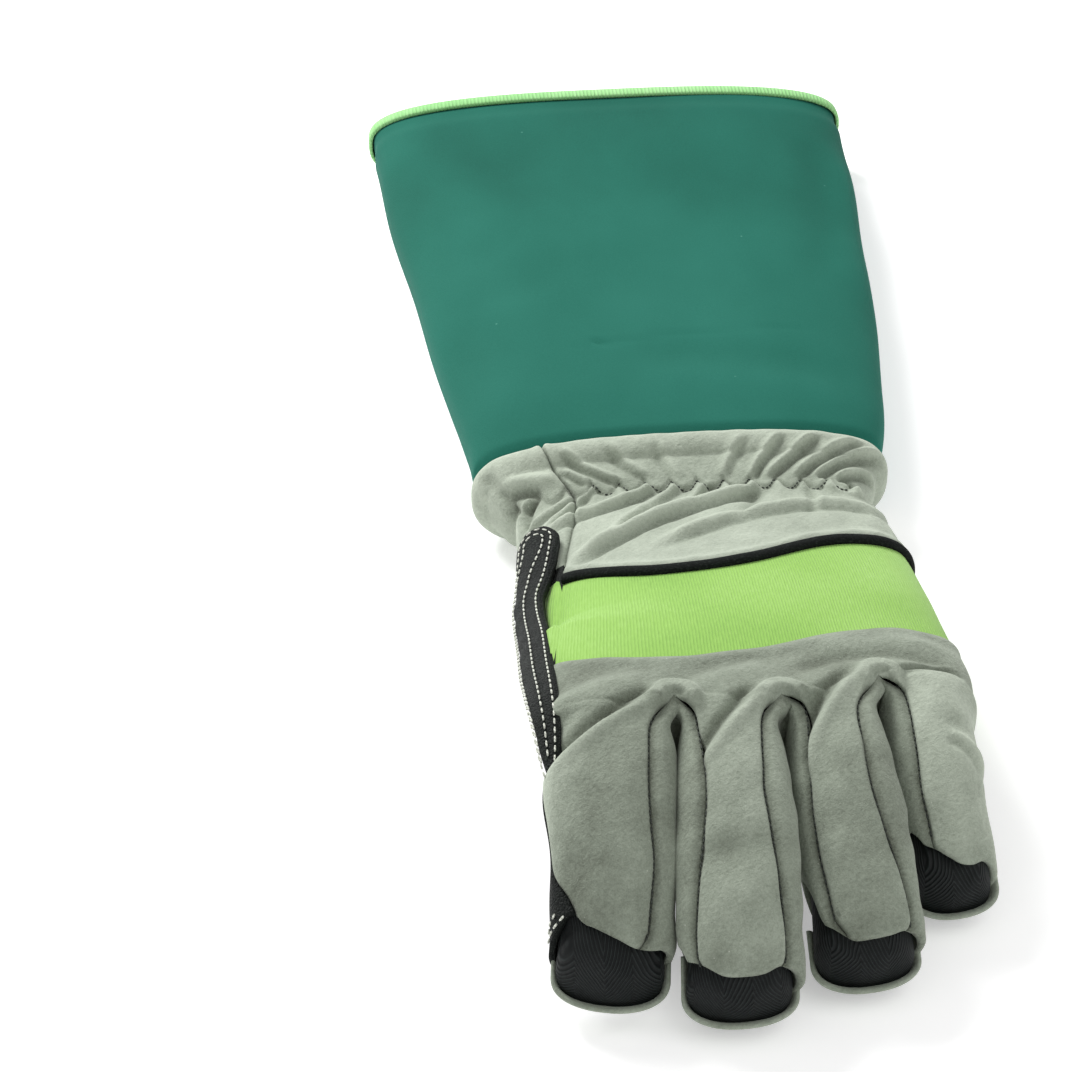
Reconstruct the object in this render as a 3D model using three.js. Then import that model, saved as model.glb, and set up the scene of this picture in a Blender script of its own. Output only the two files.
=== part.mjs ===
// Rose pruning gauntlet for the left hand, lying back up with its thumb folded under the palm.
// Millimetres. +X to the little finger, +Y to the mouth of the cuff, +Z up; the elastic line is y = 0
// while the pieces are made, and the finished group is moved to stand on z = 0, centred in x and y.
import * as THREE from "three";

// Lengths along the glove, from the elastic line of the wrist.
const SLEEVE_LENGTH = 209;
const HAND_LENGTH = 111;
const BAND_EDGE = 19;
const CUFF_LAP = 10;
const HEEL_SEAM = 36;
const FINGER_LENGTH = 62;

// Widths and heights of the flattened tube.
const MOUTH_WIDTH = 144;
const WRIST_WIDTH = 91;
const HAND_WIDTH = 98;
const CUFF_HEIGHT = 28;
const WRIST_HEIGHT = 25;
const KNUCKLE_HEIGHT = 48;
const LITTLE_KNUCKLE_HEIGHT = 38;
const PALM_LIFT = 21;
const LITTLE_LIFT = 11;

// Fingers and thumb.
const FINGER_WIDTH = 25;
const FINGER_CLEARANCE = 1.3;
const TIP_HEIGHT = 17.5;
const TIP_DEPTH = 7;
const THUMB_LENGTH = 60;
const THUMB_WIDTH = 28;
const THUMB_HEIGHT = 18;
const THUMB_SEAM = 66;
const THUMB_RISE = 8;

// Walls, trims and clearances.
const NEOPRENE = 3.5;
const SUEDE = 1.5;
const KNIT = 1.4;
const LEATHER = 1.4;
const SEAM_GAP = 0.4;
const BINDING_WIDTH = 4;
const BINDING_WALL = 0.8;
const PIPING_WIDTH = 3.4;
const PIPING_HEIGHT = 2.4;
const STRIP_WIDTH = 10.5;
const STRIP_START = 24;
const STRIP_WALL = 1.1;
const STRIP_END_WIDTH = 5.8;
const BAND_PUFF = 2.4;
const GATHER_DEPTH = 1.6;
const GATHER_WIDTH = 5;
const RUFFLE_HEIGHT = 1.3;
const RUFFLE_REACH = 6;
const RUFFLES = 10;

// Seams round a finger, in degrees from the little-finger side: the back panel spans the rest.
const BACK_SEAM = 43;
// Roundness of the sections: 1 is an ellipse, less is squarer; and how blunt the round ends are.
const SLEEVE_ROUND = 0.7;
const FINGER_ROUND = 0.88;
const TIP_ROUND = 0.8;
// The sole of the sleeve lies flat from where its section passes this share of its depth.
const SOLE_FLAT = 1.12;
// Share of the ruffles' height that is left under the wrist.
const SOLE_RUFFLE = 0.4;
// The notch between two fingers opens over this share of a finger's straight length.
const NOTCH_LENGTH = 0.15;
// The thumb's ring of skin turns into its round section over this share of its length.
const THUMB_BLEND = 0.22;

// Sections of the tube. at: share of the zone's length from the elastic line; left (thumb side) and
// right: shares of the zone's width from the centre line; crown: share of its height; fold: height of
// the side folds as a share of the crown; seam: where the thumb-side seam lies on the back, as a
// share of the half width.
const CUFF_ROWS = [
  { at: 1.0, left: 0.493, right: 0.507, crown: 1.0, fold: 0.5, seam: 0.66 },
  { at: 0.66, left: 0.456, right: 0.465, crown: 1.0, fold: 0.5, seam: 0.66 },
  { at: 0.455, left: 0.424, right: 0.437, crown: 1.0, fold: 0.5, seam: 0.66 },
  { at: 0.273, left: 0.399, right: 0.407, crown: 1.0, fold: 0.5, seam: 0.66 },
  { at: 0.158, left: 0.376, right: 0.38, crown: 0.98, fold: 0.5, seam: 0.66 },
];
const WRIST_ROWS = [
  { at: 0.18, left: 0.585, right: 0.562, crown: 1.06, fold: 0.5, seam: 0.68 },
  { at: 0.09, left: 0.56, right: 0.532, crown: 1.03, fold: 0.5, seam: 0.67 },
  { at: 0.0, left: 0.508, right: 0.497, crown: 1.0, fold: 0.5, seam: 0.66 },
  { at: -0.08, left: 0.487, right: 0.511, crown: 1.02, fold: 0.5, seam: 0.7 },
];
const HAND_ROWS = [
  { at: 0.15, left: 0.441, right: 0.486, crown: 0.58, fold: 0.5, seam: 0.76 },
  { at: 0.3, left: 0.432, right: 0.494, crown: 0.66, fold: 0.5, seam: 0.86 },
  { at: 0.464, left: 0.436, right: 0.502, crown: 0.76, fold: 0.5, seam: 0.91 },
  { at: 0.66, left: 0.452, right: 0.51, crown: 0.86, fold: 0.56, seam: 0.94 },
  { at: 0.83, left: 0.472, right: 0.517, crown: 0.94, fold: 0.64, seam: 0.96 },
  { at: 1.0, left: 0.49, right: 0.512, crown: 1.0, fold: 0.7, seam: 0.97 },
  { at: 1.2, left: 0.5, right: 0.512, crown: 1.0, fold: 0.7, seam: 0.97 },
];
// Beside the thumb the sole's slope is this many times longer than its step; towards the little finger
// it rises from this share of HAND_LENGTH.
const SIDE_SLOPE = 5;
const LITTLE_RISE = 0.35;
// The lift over the thumb reaches this far across, and the sides of the slopes end further on.
const LIFT_EDGE = -0.3;
const SLOPE_EDGE = 0.1;
const LIFT_END = 0.6;
// The crown tilts towards the little finger from this share of HAND_LENGTH on.
const TILT_START = 0.15;
// Where the fingers part, across the hand in shares of the half width, and how far from the elastic
// line their roots lie on the back and on the palm, in shares of HAND_LENGTH.
const ROOT_LINE = [
  { across: -1, back: 1.02, palm: 1.08 },
  { across: -0.435, back: 0.998, palm: 1.12 },
  { across: 0.047, back: 0.99, palm: 1.12 },
  { across: 0.518, back: 0.9, palm: 1.03 },
  { across: 1, back: 0.84, palm: 0.94 },
];
// Seams across the back, in shares of HAND_LENGTH: the piping and the lower edge of the knit band.
const BACK_SEAMS = [
  { across: -1, piping: 0.463, knit: 0.745 },
  { across: -0.45, piping: 0.49, knit: 0.815 },
  { across: 0.05, piping: 0.466, knit: 0.84 },
  { across: 0.5, piping: 0.43, knit: 0.76 },
  { across: 1, piping: 0.365, knit: 0.64 },
];
// length: share of FINGER_LENGTH; spread: sideways run, share of the finger's own length; width:
// share of FINGER_WIDTH; roll: turn about its own length, in degrees, at the tip.
const FINGERS = [
  { name: "index", length: 0.865, spread: -0.123, width: 1.02, roll: -8 },
  { name: "middle", length: 1.0, spread: -0.079, width: 1.0, roll: 8 },
  { name: "ring", length: 0.955, spread: -0.003, width: 0.95, roll: 9 },
  { name: "little", length: 0.76, spread: 0.011, width: 0.8, roll: 10 },
];
// How a finger droops, by the share of its length: top from knuckle (1) to tip (0), sole likewise,
// and its width between the root's and its own.
const DROOP = [
  { at: 0, top: 1, sole: 1, width: 0 },
  { at: 0.2, top: 0.93, sole: 0.99, width: 0.55 },
  { at: 0.45, top: 0.76, sole: 0.85, width: 1 },
  { at: 0.7, top: 0.46, sole: 0.4, width: 1 },
  { at: 0.9, top: 0.14, sole: 0.06, width: 0.97 },
  { at: 1, top: 0, sole: 0, width: 0.95 },
];
// Where the fingertip caps begin: 1 is the start of the round end, 2 its pole.
const CAP_TRIM = { back: 1.42, side: 1.08, palm: 0.9 };
// Folds of the wrist: x in shares of half the wrist, y of HAND_LENGTH from the elastic line, turn in
// degrees from across, long and wide in shares of WRIST_WIDTH, tall in millimetres of rise.
const FOLDS = [
  { x: 0.55, y: -0.16, turn: 38, long: 0.34, wide: 0.035, tall: 1.6 },
  { x: 0.2, y: -0.19, turn: 42, long: 0.32, wide: 0.04, tall: 1.5 },
  { x: -0.2, y: -0.2, turn: 44, long: 0.3, wide: 0.04, tall: 1.4 },
  { x: -0.55, y: -0.17, turn: 50, long: 0.26, wide: 0.035, tall: 1.8 },
  { x: 0.85, y: -0.12, turn: 30, long: 0.22, wide: 0.03, tall: 1.5 },
];
// Shallow dents of the cuff: x in shares of half the mouth, y of SLEEVE_LENGTH.
const DENTS = [
  { x: 0.15, y: 0.33, turn: -8, long: 0.3, wide: 0.05, tall: -1.2 },
  { x: 0.55, y: 0.62, turn: 70, long: 0.35, wide: 0.09, tall: -1.0 },
];

// How finely each sheet is divided.
const RING_COLUMNS = 40;
const LANE_COLUMNS = 4;
const SIDE_COLUMNS = 4;
const FINGER_ROWS = 8;
const CAP_ROWS = 4;
const HAND_ROWS_BACK = 3;
const HAND_ROWS_PALM = 4;
// Rows of a finger crowd towards its root by this power.
const EARLY = 1.7;

// Step for slopes taken from a surface's own formula.
const FINE_STEP = 1e-3;
const RADIANS = Math.PI / 180;
const FULL_TURN = 2 * Math.PI;

const clamp = (v, low, high) => Math.min(high, Math.max(low, v));
const mix = (a, b, t) => a + (b - a) * t;
const mixPoint = (a, b, t) => a.clone().lerp(b, t);
const signedPower = (v, power) => Math.sign(v) * Math.abs(v) ** power;
const ease = (t) => clamp(t, 0, 1) ** 2 * (3 - 2 * clamp(t, 0, 1));
// An angle in degrees brought to between -180 and 180.
const wrapped = (theta) => ((((theta + 180) % 360) + 360) % 360) - 180;

// Reads a column of a table, whose key rises, on a smooth curve through its rows.
function readTable(rows, key, column, at) {
  const last = rows.length - 1;
  let i = 0;
  while (i < last - 1 && at > rows[i + 1][key]) i += 1;
  const [before, a, b, after] = [i - 1, i, i + 1, i + 2].map((k) => rows[clamp(k, 0, last)]);
  const span = b[key] - a[key];
  const slope = (from, to) => ((to[column] - from[column]) / (to[key] - from[key])) * span;
  const [start, end] = [slope(before, b), slope(a, after)];
  const t = clamp((at - a[key]) / span, 0, 1);
  const [t2, t3] = [t * t, t * t * t];
  const ends = a[column] * (2 * t3 - 3 * t2 + 1) + b[column] * (3 * t2 - 2 * t3);
  return ends + start * (t3 - 2 * t2 + t) + end * (t3 - t2);
}

// The sections in millimetres, from the mouth (highest y) to the knuckles.
function zone(rows, length, width, height) {
  return rows.map((row) => ({
    y: row.at * length,
    left: row.left * width,
    right: row.right * width,
    crown: row.crown * height,
    fold: row.fold * row.crown * height,
    seam: row.seam,
  }));
}
const STATIONS = [
  ...zone(CUFF_ROWS, SLEEVE_LENGTH, MOUTH_WIDTH, CUFF_HEIGHT),
  ...zone(WRIST_ROWS, HAND_LENGTH, WRIST_WIDTH, WRIST_HEIGHT),
  ...zone(HAND_ROWS, -HAND_LENGTH, HAND_WIDTH, KNUCKLE_HEIGHT),
].sort((a, b) => a.y - b.y);

const section = (column, y) => readTable(STATIONS, "y", column, y);

// Height of the sole at y, across the hand: it steps up over the thumb, and slopes up beside it.
function soleHeight(across, y) {
  const slope = THUMB_RISE * mix(1, SIDE_SLOPE, ease((across - LIFT_EDGE) / (SLOPE_EDGE - LIFT_EDGE)));
  const step = clamp((-y - THUMB_SEAM) / slope, 0, 1);
  const little = ease((-y / HAND_LENGTH - LITTLE_RISE) / (1 - LITTLE_RISE)) * LITTLE_LIFT;
  return mix(step * PALM_LIFT, little, ease((across - LIFT_EDGE) / (LIFT_END - LIFT_EDGE)));
}

// A point of the sleeve's skin: angle 0 on the little-finger side, a quarter turn at the crown; out is
// how far it stands proud of the plain skin.
function sleevePoint(angle, y, out = 0) {
  const across = signedPower(Math.cos(angle), SLEEVE_ROUND);
  const rise = signedPower(Math.sin(angle), SLEEVE_ROUND);
  const [left, right] = [section("left", y) + out, section("right", y) + out];
  const tilted = ease((-y / HAND_LENGTH - TILT_START) / (1 - TILT_START));
  const tilt = tilted * (KNUCKLE_HEIGHT - LITTLE_KNUCKLE_HEIGHT);
  const crown = section("crown", y) - (tilt * (across + 1)) / 2 + out;
  const sole = Math.max(0, soleHeight(across, y) - out);
  const fold = mix(sole, crown, section("fold", y) / section("crown", y));
  const z = rise > 0 ? mix(fold, crown, rise) : mix(fold, sole, Math.min(1, -rise * SOLE_FLAT));
  return new THREE.Vector3((right - left) / 2 + ((right + left) / 2) * across, y, z);
}

const backAngle = (across) => Math.acos(clamp(signedPower(across, 1 / SLEEVE_ROUND), -1, 1));

// 1 on the back of the glove, fading to 0 at its side folds.
const onBackOf = (angle) => clamp(Math.sin(angle) * 3, 0, 1);

// Sum of the ridges and dents of a table at a place; halfWidth, length and size scale its shares.
function relief(rows, x, y, halfWidth, length, size) {
  return rows.reduce((sum, row) => {
    const [dx, dy] = [x - row.x * halfWidth, y - row.y * length];
    const turn = row.turn * RADIANS;
    const along = (dx * Math.cos(turn) + dy * Math.sin(turn)) / (row.long * size);
    const aside = (dy * Math.cos(turn) - dx * Math.sin(turn)) / (row.wide * size);
    return sum + row.tall * Math.exp(-along * along * 4 - aside * aside);
  }, 0);
}

// An open sheet gathered from grids, then given its wall.
class Sheet {
  constructor() {
    this.points = [];
    this.normals = [];
    this.faces = [];
    this.places = new Map();
  }

  vertex(point, normal) {
    const key = [point.x, point.y, point.z].map((v) => Math.round(v * 1e3)).join(" ");
    if (!this.places.has(key)) {
      this.places.set(key, this.points.length);
      this.points.push(point);
      this.normals.push(new THREE.Vector3());
    }
    const i = this.places.get(key);
    this.normals[i].add(normal);
    return i;
  }

  triangle(a, b, c) {
    if (a !== b && b !== c && c !== a) this.faces.push([a, b, c]);
  }

  // pointAt(row, column) gives the skin for each of the rows rowAt and the columns columnAt;
  // side 1 when rows crossed with columns point outwards, or -1; skip(r, c) leaves a cell out.
  grid(rowAt, columnAt, pointAt, side, skip = () => false) {
    const normalAt = (r, c) => {
      const down = pointAt(r + FINE_STEP, c).sub(pointAt(r - FINE_STEP, c));
      const along = pointAt(r, c + FINE_STEP).sub(pointAt(r, c - FINE_STEP));
      const normal = down.cross(along).multiplyScalar(side);
      return normal.length() > 1e-7 ? normal.normalize() : normal.set(0, 0, 0);
    };
    const ids = rowAt.map((r) => columnAt.map((c) => this.vertex(pointAt(r, c), normalAt(r, c))));
    for (let r = 0; r + 1 < rowAt.length; r += 1) {
      for (let c = 0; c + 1 < columnAt.length; c += 1) {
        if (skip(r, c)) continue;
        const [a, b, d, e] = [ids[r][c], ids[r][c + 1], ids[r + 1][c], ids[r + 1][c + 1]];
        if (side > 0) {
          this.triangle(a, d, e);
          this.triangle(a, e, b);
        } else {
          this.triangle(a, e, d);
          this.triangle(a, b, e);
        }
      }
    }
    return this;
  }

  // The closed solid between the skin and its offset by the wall on the inner side.
  thicken(wall) {
    const faceNormal = (face) => {
      const [a, b, c] = face.map((i) => this.points[i]);
      return b.clone().sub(a).cross(c.clone().sub(a));
    };
    const spare = this.points.map(() => new THREE.Vector3());
    this.faces.forEach((face) => face.forEach((i) => spare[i].add(faceNormal(face))));
    const inner = this.points.map((p, i) => {
      const normal = this.normals[i].length() > 0.1 ? this.normals[i] : spare[i];
      const inside = p.clone().addScaledVector(normal.clone().normalize(), -wall);
      inside.z = Math.max(inside.z, 0);
      return inside;
    });
    const count = this.points.length;
    const edges = new Map();
    const indices = [];
    this.faces.forEach(([a, b, c]) => {
      indices.push(a, b, c, count + a, count + c, count + b);
      [[a, b], [b, c], [c, a]].forEach(([from, to]) => edges.set(`${from} ${to}`, [from, to]));
    });
    edges.forEach(([from, to]) => {
      if (edges.has(`${to} ${from}`)) return;
      indices.push(to, from, count + from, to, count + from, count + to);
    });
    return solidFrom([...this.points, ...inner], indices);
  }
}

function solidFrom(points, indices) {
  const geometry = new THREE.BufferGeometry();
  geometry.setAttribute("position", new THREE.Float32BufferAttribute(points.flatMap((p) => [...p]), 3));
  geometry.setIndex(indices);
  return geometry;
}

// Even shares from 0 to 1, and shares that start close together.
const even = (count) => Array.from({ length: count + 1 }, (_, i) => i / count);
const early = (count) => even(count).map((share) => share ** EARLY);

// A bead or binding: a closed outline, in steps across and out, carried along a path of frames.
function carried(frames, outline, closed) {
  const points = frames.flatMap(({ at, aside, out }) =>
    outline.map(([a, o]) => at.clone().addScaledVector(aside, a).addScaledVector(out, o)),
  );
  const [sides, count] = [outline.length, frames.length];
  const indices = [];
  for (let i = 0; i < (closed ? count : count - 1); i += 1) {
    for (let k = 0; k < sides; k += 1) {
      const [a, b] = [i * sides + k, i * sides + ((k + 1) % sides)];
      const next = (((i + 1) % count) - i) * sides;
      indices.push(a, b, b + next, a, b + next, a + next);
    }
  }
  if (!closed) {
    const end = (count - 1) * sides;
    for (let k = 1; k + 1 < sides; k += 1) {
      indices.push(0, k + 1, k, end, end + k, end + k + 1);
    }
  }
  return solidFrom(points, indices);
}

// How far the wrist band stands proud at a place: its puffed edge, the pinch and ruffles of the
// elastic, and the long folds below it.
function bandRelief(angle, y) {
  const plain = sleevePoint(angle, y);
  const edge = clamp((BAND_EDGE - y) / (BAND_EDGE - CUFF_LAP), 0, 1);
  const puff = BAND_PUFF * Math.sin(Math.PI * edge) ** 0.8;
  const pinch = -GATHER_DEPTH * Math.exp(-((y / GATHER_WIDTH) ** 2));
  const beside = Math.exp(-(((Math.abs(y) - GATHER_WIDTH) / RUFFLE_REACH) ** 2));
  const near = beside * clamp((CUFF_LAP - y) / GATHER_WIDTH, 0, 1);
  const across = (2 * plain.x) / WRIST_WIDTH;
  const ruffle = RUFFLE_HEIGHT * Math.cos(Math.PI * RUFFLES * across) * near;
  const folds = relief(FOLDS, plain.x, y, WRIST_WIDTH / 2, HAND_LENGTH, WRIST_WIDTH);
  const back = onBackOf(angle);
  const seam = sleevePoint(backAngle(-section("seam", y)), y);
  const faded = back * ease((plain.x - seam.x) / STRIP_WIDTH);
  return puff + pinch + ruffle * mix(SOLE_RUFFLE, 1, back) + folds * faded;
}

// Lanes round the hand. On the back lanes 0 to 4 cross the four fingers and 4 to 5 goes down the
// little-finger side; on the palm -1 to 0 comes down the thumb side and 0 to 4 crosses underneath.
const SPLITS = ROOT_LINE.slice(1, 4).map((row) => row.across);
const BACK_RIM = 0.93;
const LITTLE_SEAM = -30 * RADIANS;
const littleRim = signedPower(Math.cos(LITTLE_SEAM), SLEEVE_ROUND);

function laneAcross(edges, lane) {
  const i = clamp(Math.floor(lane), 0, 3);
  return mix(edges[i], edges[i + 1], lane - i);
}
function backLane(lane, y) {
  if (lane > 4) return mix(backAngle(BACK_RIM), LITTLE_SEAM, lane - 4);
  return backAngle(laneAcross([-section("seam", y), ...SPLITS, BACK_RIM], lane));
}
function palmLane(lane, y) {
  const rim = FULL_TURN - backAngle(-BACK_RIM);
  if (lane < 0) return mix(rim, backAngle(-section("seam", y)), -lane);
  return -backAngle(laneAcross([-BACK_RIM, ...SPLITS, littleRim], lane));
}
const lineAcross = (lane) => laneAcross([-1, ...SPLITS, 1], clamp(lane, 0, 4));
const rootAt = (lane, side) => -readTable(ROOT_LINE, "across", side, lineAcross(lane)) * HAND_LENGTH;
const seamAt = (lane, seam) => -readTable(BACK_SEAMS, "across", seam, lineAcross(lane)) * HAND_LENGTH;
function backRoot(lane) {
  return lane > 4 ? mix(rootAt(4, "back"), rootAt(4, "palm"), lane - 4) : rootAt(lane, "back");
}
function palmRoot(lane) {
  return lane < 0 ? mix(rootAt(0, "palm"), rootAt(0, "back"), -lane) : rootAt(lane, "palm");
}
const backPoint = (lane, y, out = 0) => sleevePoint(backLane(lane, y), y, out);
const palmPoint = (lane, y, out = 0) => sleevePoint(palmLane(lane, y), y, out);

// The loop of skin that finger i grows from; theta in degrees, 90 at the middle of its back.
const SPAN = 180 - 2 * BACK_SEAM;
function rootLoop(i, theta) {
  const turned = wrapped(theta);
  const onBack = (lane) => backPoint(lane, backRoot(lane));
  const onPalm = (lane) => palmPoint(lane, palmRoot(lane));
  if (Math.abs(turned - 90) <= 90 - BACK_SEAM) return onBack(i + (180 - BACK_SEAM - turned) / SPAN);
  if (Math.abs(turned + 90) <= 90 - BACK_SEAM) return onPalm(i + (turned + 180 - BACK_SEAM) / SPAN);
  if (Math.abs(turned) < BACK_SEAM) {
    const down = (BACK_SEAM - turned) / (2 * BACK_SEAM);
    return i === 3 ? onBack(4 + down) : mixPoint(onBack(i + 1), onPalm(i + 1), down);
  }
  const down = ((turned > 0 ? turned : turned + 360) - 180 + BACK_SEAM) / (2 * BACK_SEAM);
  return i === 0 ? onPalm(down - 1) : mixPoint(onBack(i), onPalm(i), down);
}

// Along a finger of this length, reach runs from 0 at the root to 1 where the round end begins and 2 at
// its pole: at is the share of the length, and shrink the size of the section there.
function alongFinger(reach, length) {
  const straight = 1 - TIP_DEPTH / length;
  if (reach <= 1) return { at: reach * straight, shrink: 1 };
  const curl = clamp(reach - 1, 0, 1) * (Math.PI / 2);
  return { at: straight + (1 - straight) * Math.sin(curl), shrink: Math.cos(curl) ** TIP_ROUND };
}

// A finger's skin where it is a plain round tube.
function fingerSection(i, theta, reach) {
  const finger = FINGERS[i];
  const length = finger.length * FINGER_LENGTH;
  const { at, shrink } = alongFinger(reach, length);
  const lane = i + 0.5;
  const [back, palm] = [backPoint(lane, rootAt(lane, "back")), palmPoint(lane, rootAt(lane, "palm"))];
  const droop = (column) => readTable(DROOP, "at", column, at);
  const top = mix(TIP_HEIGHT, back.z, droop("top"));
  const sole = palm.z * droop("sole");
  const halfHand = (section("left", back.y) + section("right", back.y)) / 2;
  const rootWidth = (lineAcross(i + 1) - lineAcross(i)) * halfHand - FINGER_CLEARANCE;
  const width = mix(rootWidth, finger.width * FINGER_WIDTH, droop("width")) * shrink;
  const height = (top - sole) * shrink;
  const roll = finger.roll * RADIANS * ease(at);
  const a = theta * RADIANS - roll;
  const [across, up] = [
    (signedPower(Math.cos(a), FINGER_ROUND) * width) / 2,
    (signedPower(Math.sin(a), FINGER_ROUND) * height) / 2,
  ];
  const heading = new THREE.Vector2(finger.spread, -1).normalize();
  const rootY = mix(palm.y, back.y, (1 + Math.sin(a)) / 2);
  const tipY = back.y + heading.y * length;
  return new THREE.Vector3(
    back.x + heading.x * at * length + Math.cos(roll) * across - Math.sin(roll) * up,
    mix(rootY, tipY, at) + across * heading.x,
    Math.max(0, (top + sole) / 2 + Math.cos(roll) * up + Math.sin(roll) * across),
  );
}
const notchAt = (reach) => Math.sqrt(1 - (1 - clamp(reach / NOTCH_LENGTH, 0, 1)) ** 2);
const fingerPoint = (i, theta, reach) =>
  mixPoint(rootLoop(i, theta), fingerSection(i, theta, reach), notchAt(reach));

// Where the cap begins round a finger, moved along the finger by so many millimetres.
function capTrim(theta, shift) {
  const up = Math.sin(theta * RADIANS);
  const { back, side, palm } = CAP_TRIM;
  const trim = side + (up > 0 ? back - side : side - palm) * up;
  const curl = (trim - 1) * (Math.PI / 2);
  return trim + shift / (trim > 1 ? (TIP_DEPTH * Math.PI * Math.cos(curl)) / 2 : FINGER_LENGTH);
}
// Seam gaps as turns round a finger, in degrees, and as shares of a lane. At the crotch a fourchette
// also clears the wall of the sheet that it passes under or over.
const SEAM_TURN = (2.5 * SEAM_GAP) / FINGER_WIDTH / RADIANS;
const CROTCH_TURN = (SUEDE + 5 * SEAM_GAP) / (FINGER_WIDTH / 2) / RADIANS;
const LANE_GAP = (4 * SEAM_GAP) / HAND_WIDTH;

// The thumb grows from the step in the palm. Its ring runs along the step's foot and its head.
const THUMB_LANES = 1.25;
const THUMB_CORNER = 30;
const THUMB_TAPER = [1.06, 0.94];
const THUMB_LEAN = 4;
function thumbRing(theta) {
  const turned = wrapped(theta);
  const run = 180 - 2 * THUMB_CORNER;
  const foot = (share) => palmPoint(share * THUMB_LANES, -THUMB_SEAM);
  const head = (share) => palmPoint(share * THUMB_LANES, -THUMB_SEAM - THUMB_RISE);
  if (Math.abs(turned - 90) <= 90 - THUMB_CORNER) return head((180 - THUMB_CORNER - turned) / run);
  if (Math.abs(turned + 90) <= 90 - THUMB_CORNER) return foot((turned + 180 - THUMB_CORNER) / run);
  if (Math.abs(turned) < THUMB_CORNER) {
    return mixPoint(head(1), foot(1), (THUMB_CORNER - turned) / (2 * THUMB_CORNER));
  }
  const down = ((turned > 0 ? turned : turned + 360) - 180 + THUMB_CORNER) / (2 * THUMB_CORNER);
  return mixPoint(head(0), foot(0), down);
}
function thumbPoint(theta, reach) {
  const centre = mixPoint(thumbRing(THUMB_CORNER), thumbRing(180 + THUMB_CORNER), 0.5);
  const { at, shrink } = alongFinger(reach, THUMB_LENGTH);
  const width = THUMB_WIDTH * shrink * mix(...THUMB_TAPER, at);
  const a = theta * RADIANS;
  const skin = new THREE.Vector3(
    centre.x - at * THUMB_LEAN + (signedPower(Math.cos(a), FINGER_ROUND) * width) / 2,
    -THUMB_SEAM - THUMB_RISE - at * THUMB_LENGTH,
    ((1 + signedPower(Math.sin(a), FINGER_ROUND) * shrink) * THUMB_HEIGHT) / 2,
  );
  const ring = thumbRing(theta);
  const inward = centre.clone().sub(ring).setLength(1.5 * SEAM_GAP);
  return mixPoint(ring.add(inward), skin, ease(reach / THUMB_BLEND));
}

// The cuff draws in to lie inside the wrist band, and makes room for its binding at the mouth.
const CUFF_EDGE = SLEEVE_LENGTH - BINDING_WALL - SEAM_GAP;
const CUFF_DRAW_IN = 8;
const CUFF_LEVELS = [0, 0.045, 0.09, 0.14, 0.3, 0.5, 0.7, 0.84, 0.925, 0.97, 1];
function cuffOut(angle, y) {
  const plain = sleevePoint(angle, y);
  const under = -(SUEDE + 3 * SEAM_GAP) * ease((BAND_EDGE + CUFF_DRAW_IN - y) / CUFF_DRAW_IN);
  const bound = ease((y - SLEEVE_LENGTH + 4 * BINDING_WIDTH) / (2 * BINDING_WIDTH));
  const dents = relief(DENTS, plain.x, y, MOUTH_WIDTH / 2, SLEEVE_LENGTH, MOUTH_WIDTH);
  return under - (BINDING_WALL + SEAM_GAP) * bound + dents * onBackOf(angle);
}
function makeCuff() {
  const skin = (r, c) => {
    const y = mix(CUFF_LAP, CUFF_EDGE, r);
    return sleevePoint(c * FULL_TURN, y, cuffOut(c * FULL_TURN, y));
  };
  return new Sheet().grid(CUFF_LEVELS, even(RING_COLUMNS), skin, 1).thicken(NEOPRENE);
}
// A folded tape round the cuff's edge, carried on the edge's own frames.
function makeBinding() {
  const along = new THREE.Vector3(0, 1, 0);
  const place = (a) => sleevePoint(a, CUFF_EDGE, cuffOut(a, CUFF_EDGE));
  const frames = even(RING_COLUMNS)
    .slice(0, -1)
    .map((share) => {
      const angle = share * FULL_TURN;
      const ahead = place(angle + FINE_STEP).sub(place(angle - FINE_STEP));
      return { at: place(angle), aside: along, out: along.clone().cross(ahead).normalize() };
    });
  const [near, far] = [SEAM_GAP, SEAM_GAP + BINDING_WALL];
  const outline = [
    [-BINDING_WIDTH, far], [far, far], [far, -NEOPRENE - far], [-BINDING_WIDTH, -NEOPRENE - far],
    [-BINDING_WIDTH, -NEOPRENE - near], [near, -NEOPRENE - near], [near, near], [-BINDING_WIDTH, near],
  ];
  return carried(frames, outline, true);
}
// Levels of the wrist's rows: 0 at the band's edge, 1 at the heel seam, 2 at the piping.
const WRIST_LEVELS = [0, 0.05, 0.11, 0.18, 0.25, 0.31, 0.36, 0.43, 0.54, 0.72, 1];
function makeWristBack() {
  const skin = (r, c) => {
    const lane = mix(LANE_GAP, 5 - LANE_GAP, c);
    const heel = mix(BAND_EDGE, -HEEL_SEAM + SEAM_GAP / 2, Math.min(r, 1));
    const y = mix(heel, seamAt(lane, "piping") + SEAM_GAP / 2, clamp(r - 1, 0, 1));
    const angle = backLane(lane, y);
    return sleevePoint(angle, y, bandRelief(angle, y));
  };
  return new Sheet().grid([...WRIST_LEVELS, 2], even(8 * LANE_COLUMNS), skin, 1).thicken(SUEDE);
}
function makeWristFront() {
  const skin = (r, c) => {
    const lane = mix(-1 + LANE_GAP, 4 - LANE_GAP, c);
    const y = mix(BAND_EDGE, -HEEL_SEAM + SEAM_GAP / 2, r);
    const angle = palmLane(lane, y);
    return sleevePoint(angle, y, bandRelief(angle, y));
  };
  return new Sheet().grid(WRIST_LEVELS, even(5 * LANE_COLUMNS), skin, -1).thicken(SUEDE);
}
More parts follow.
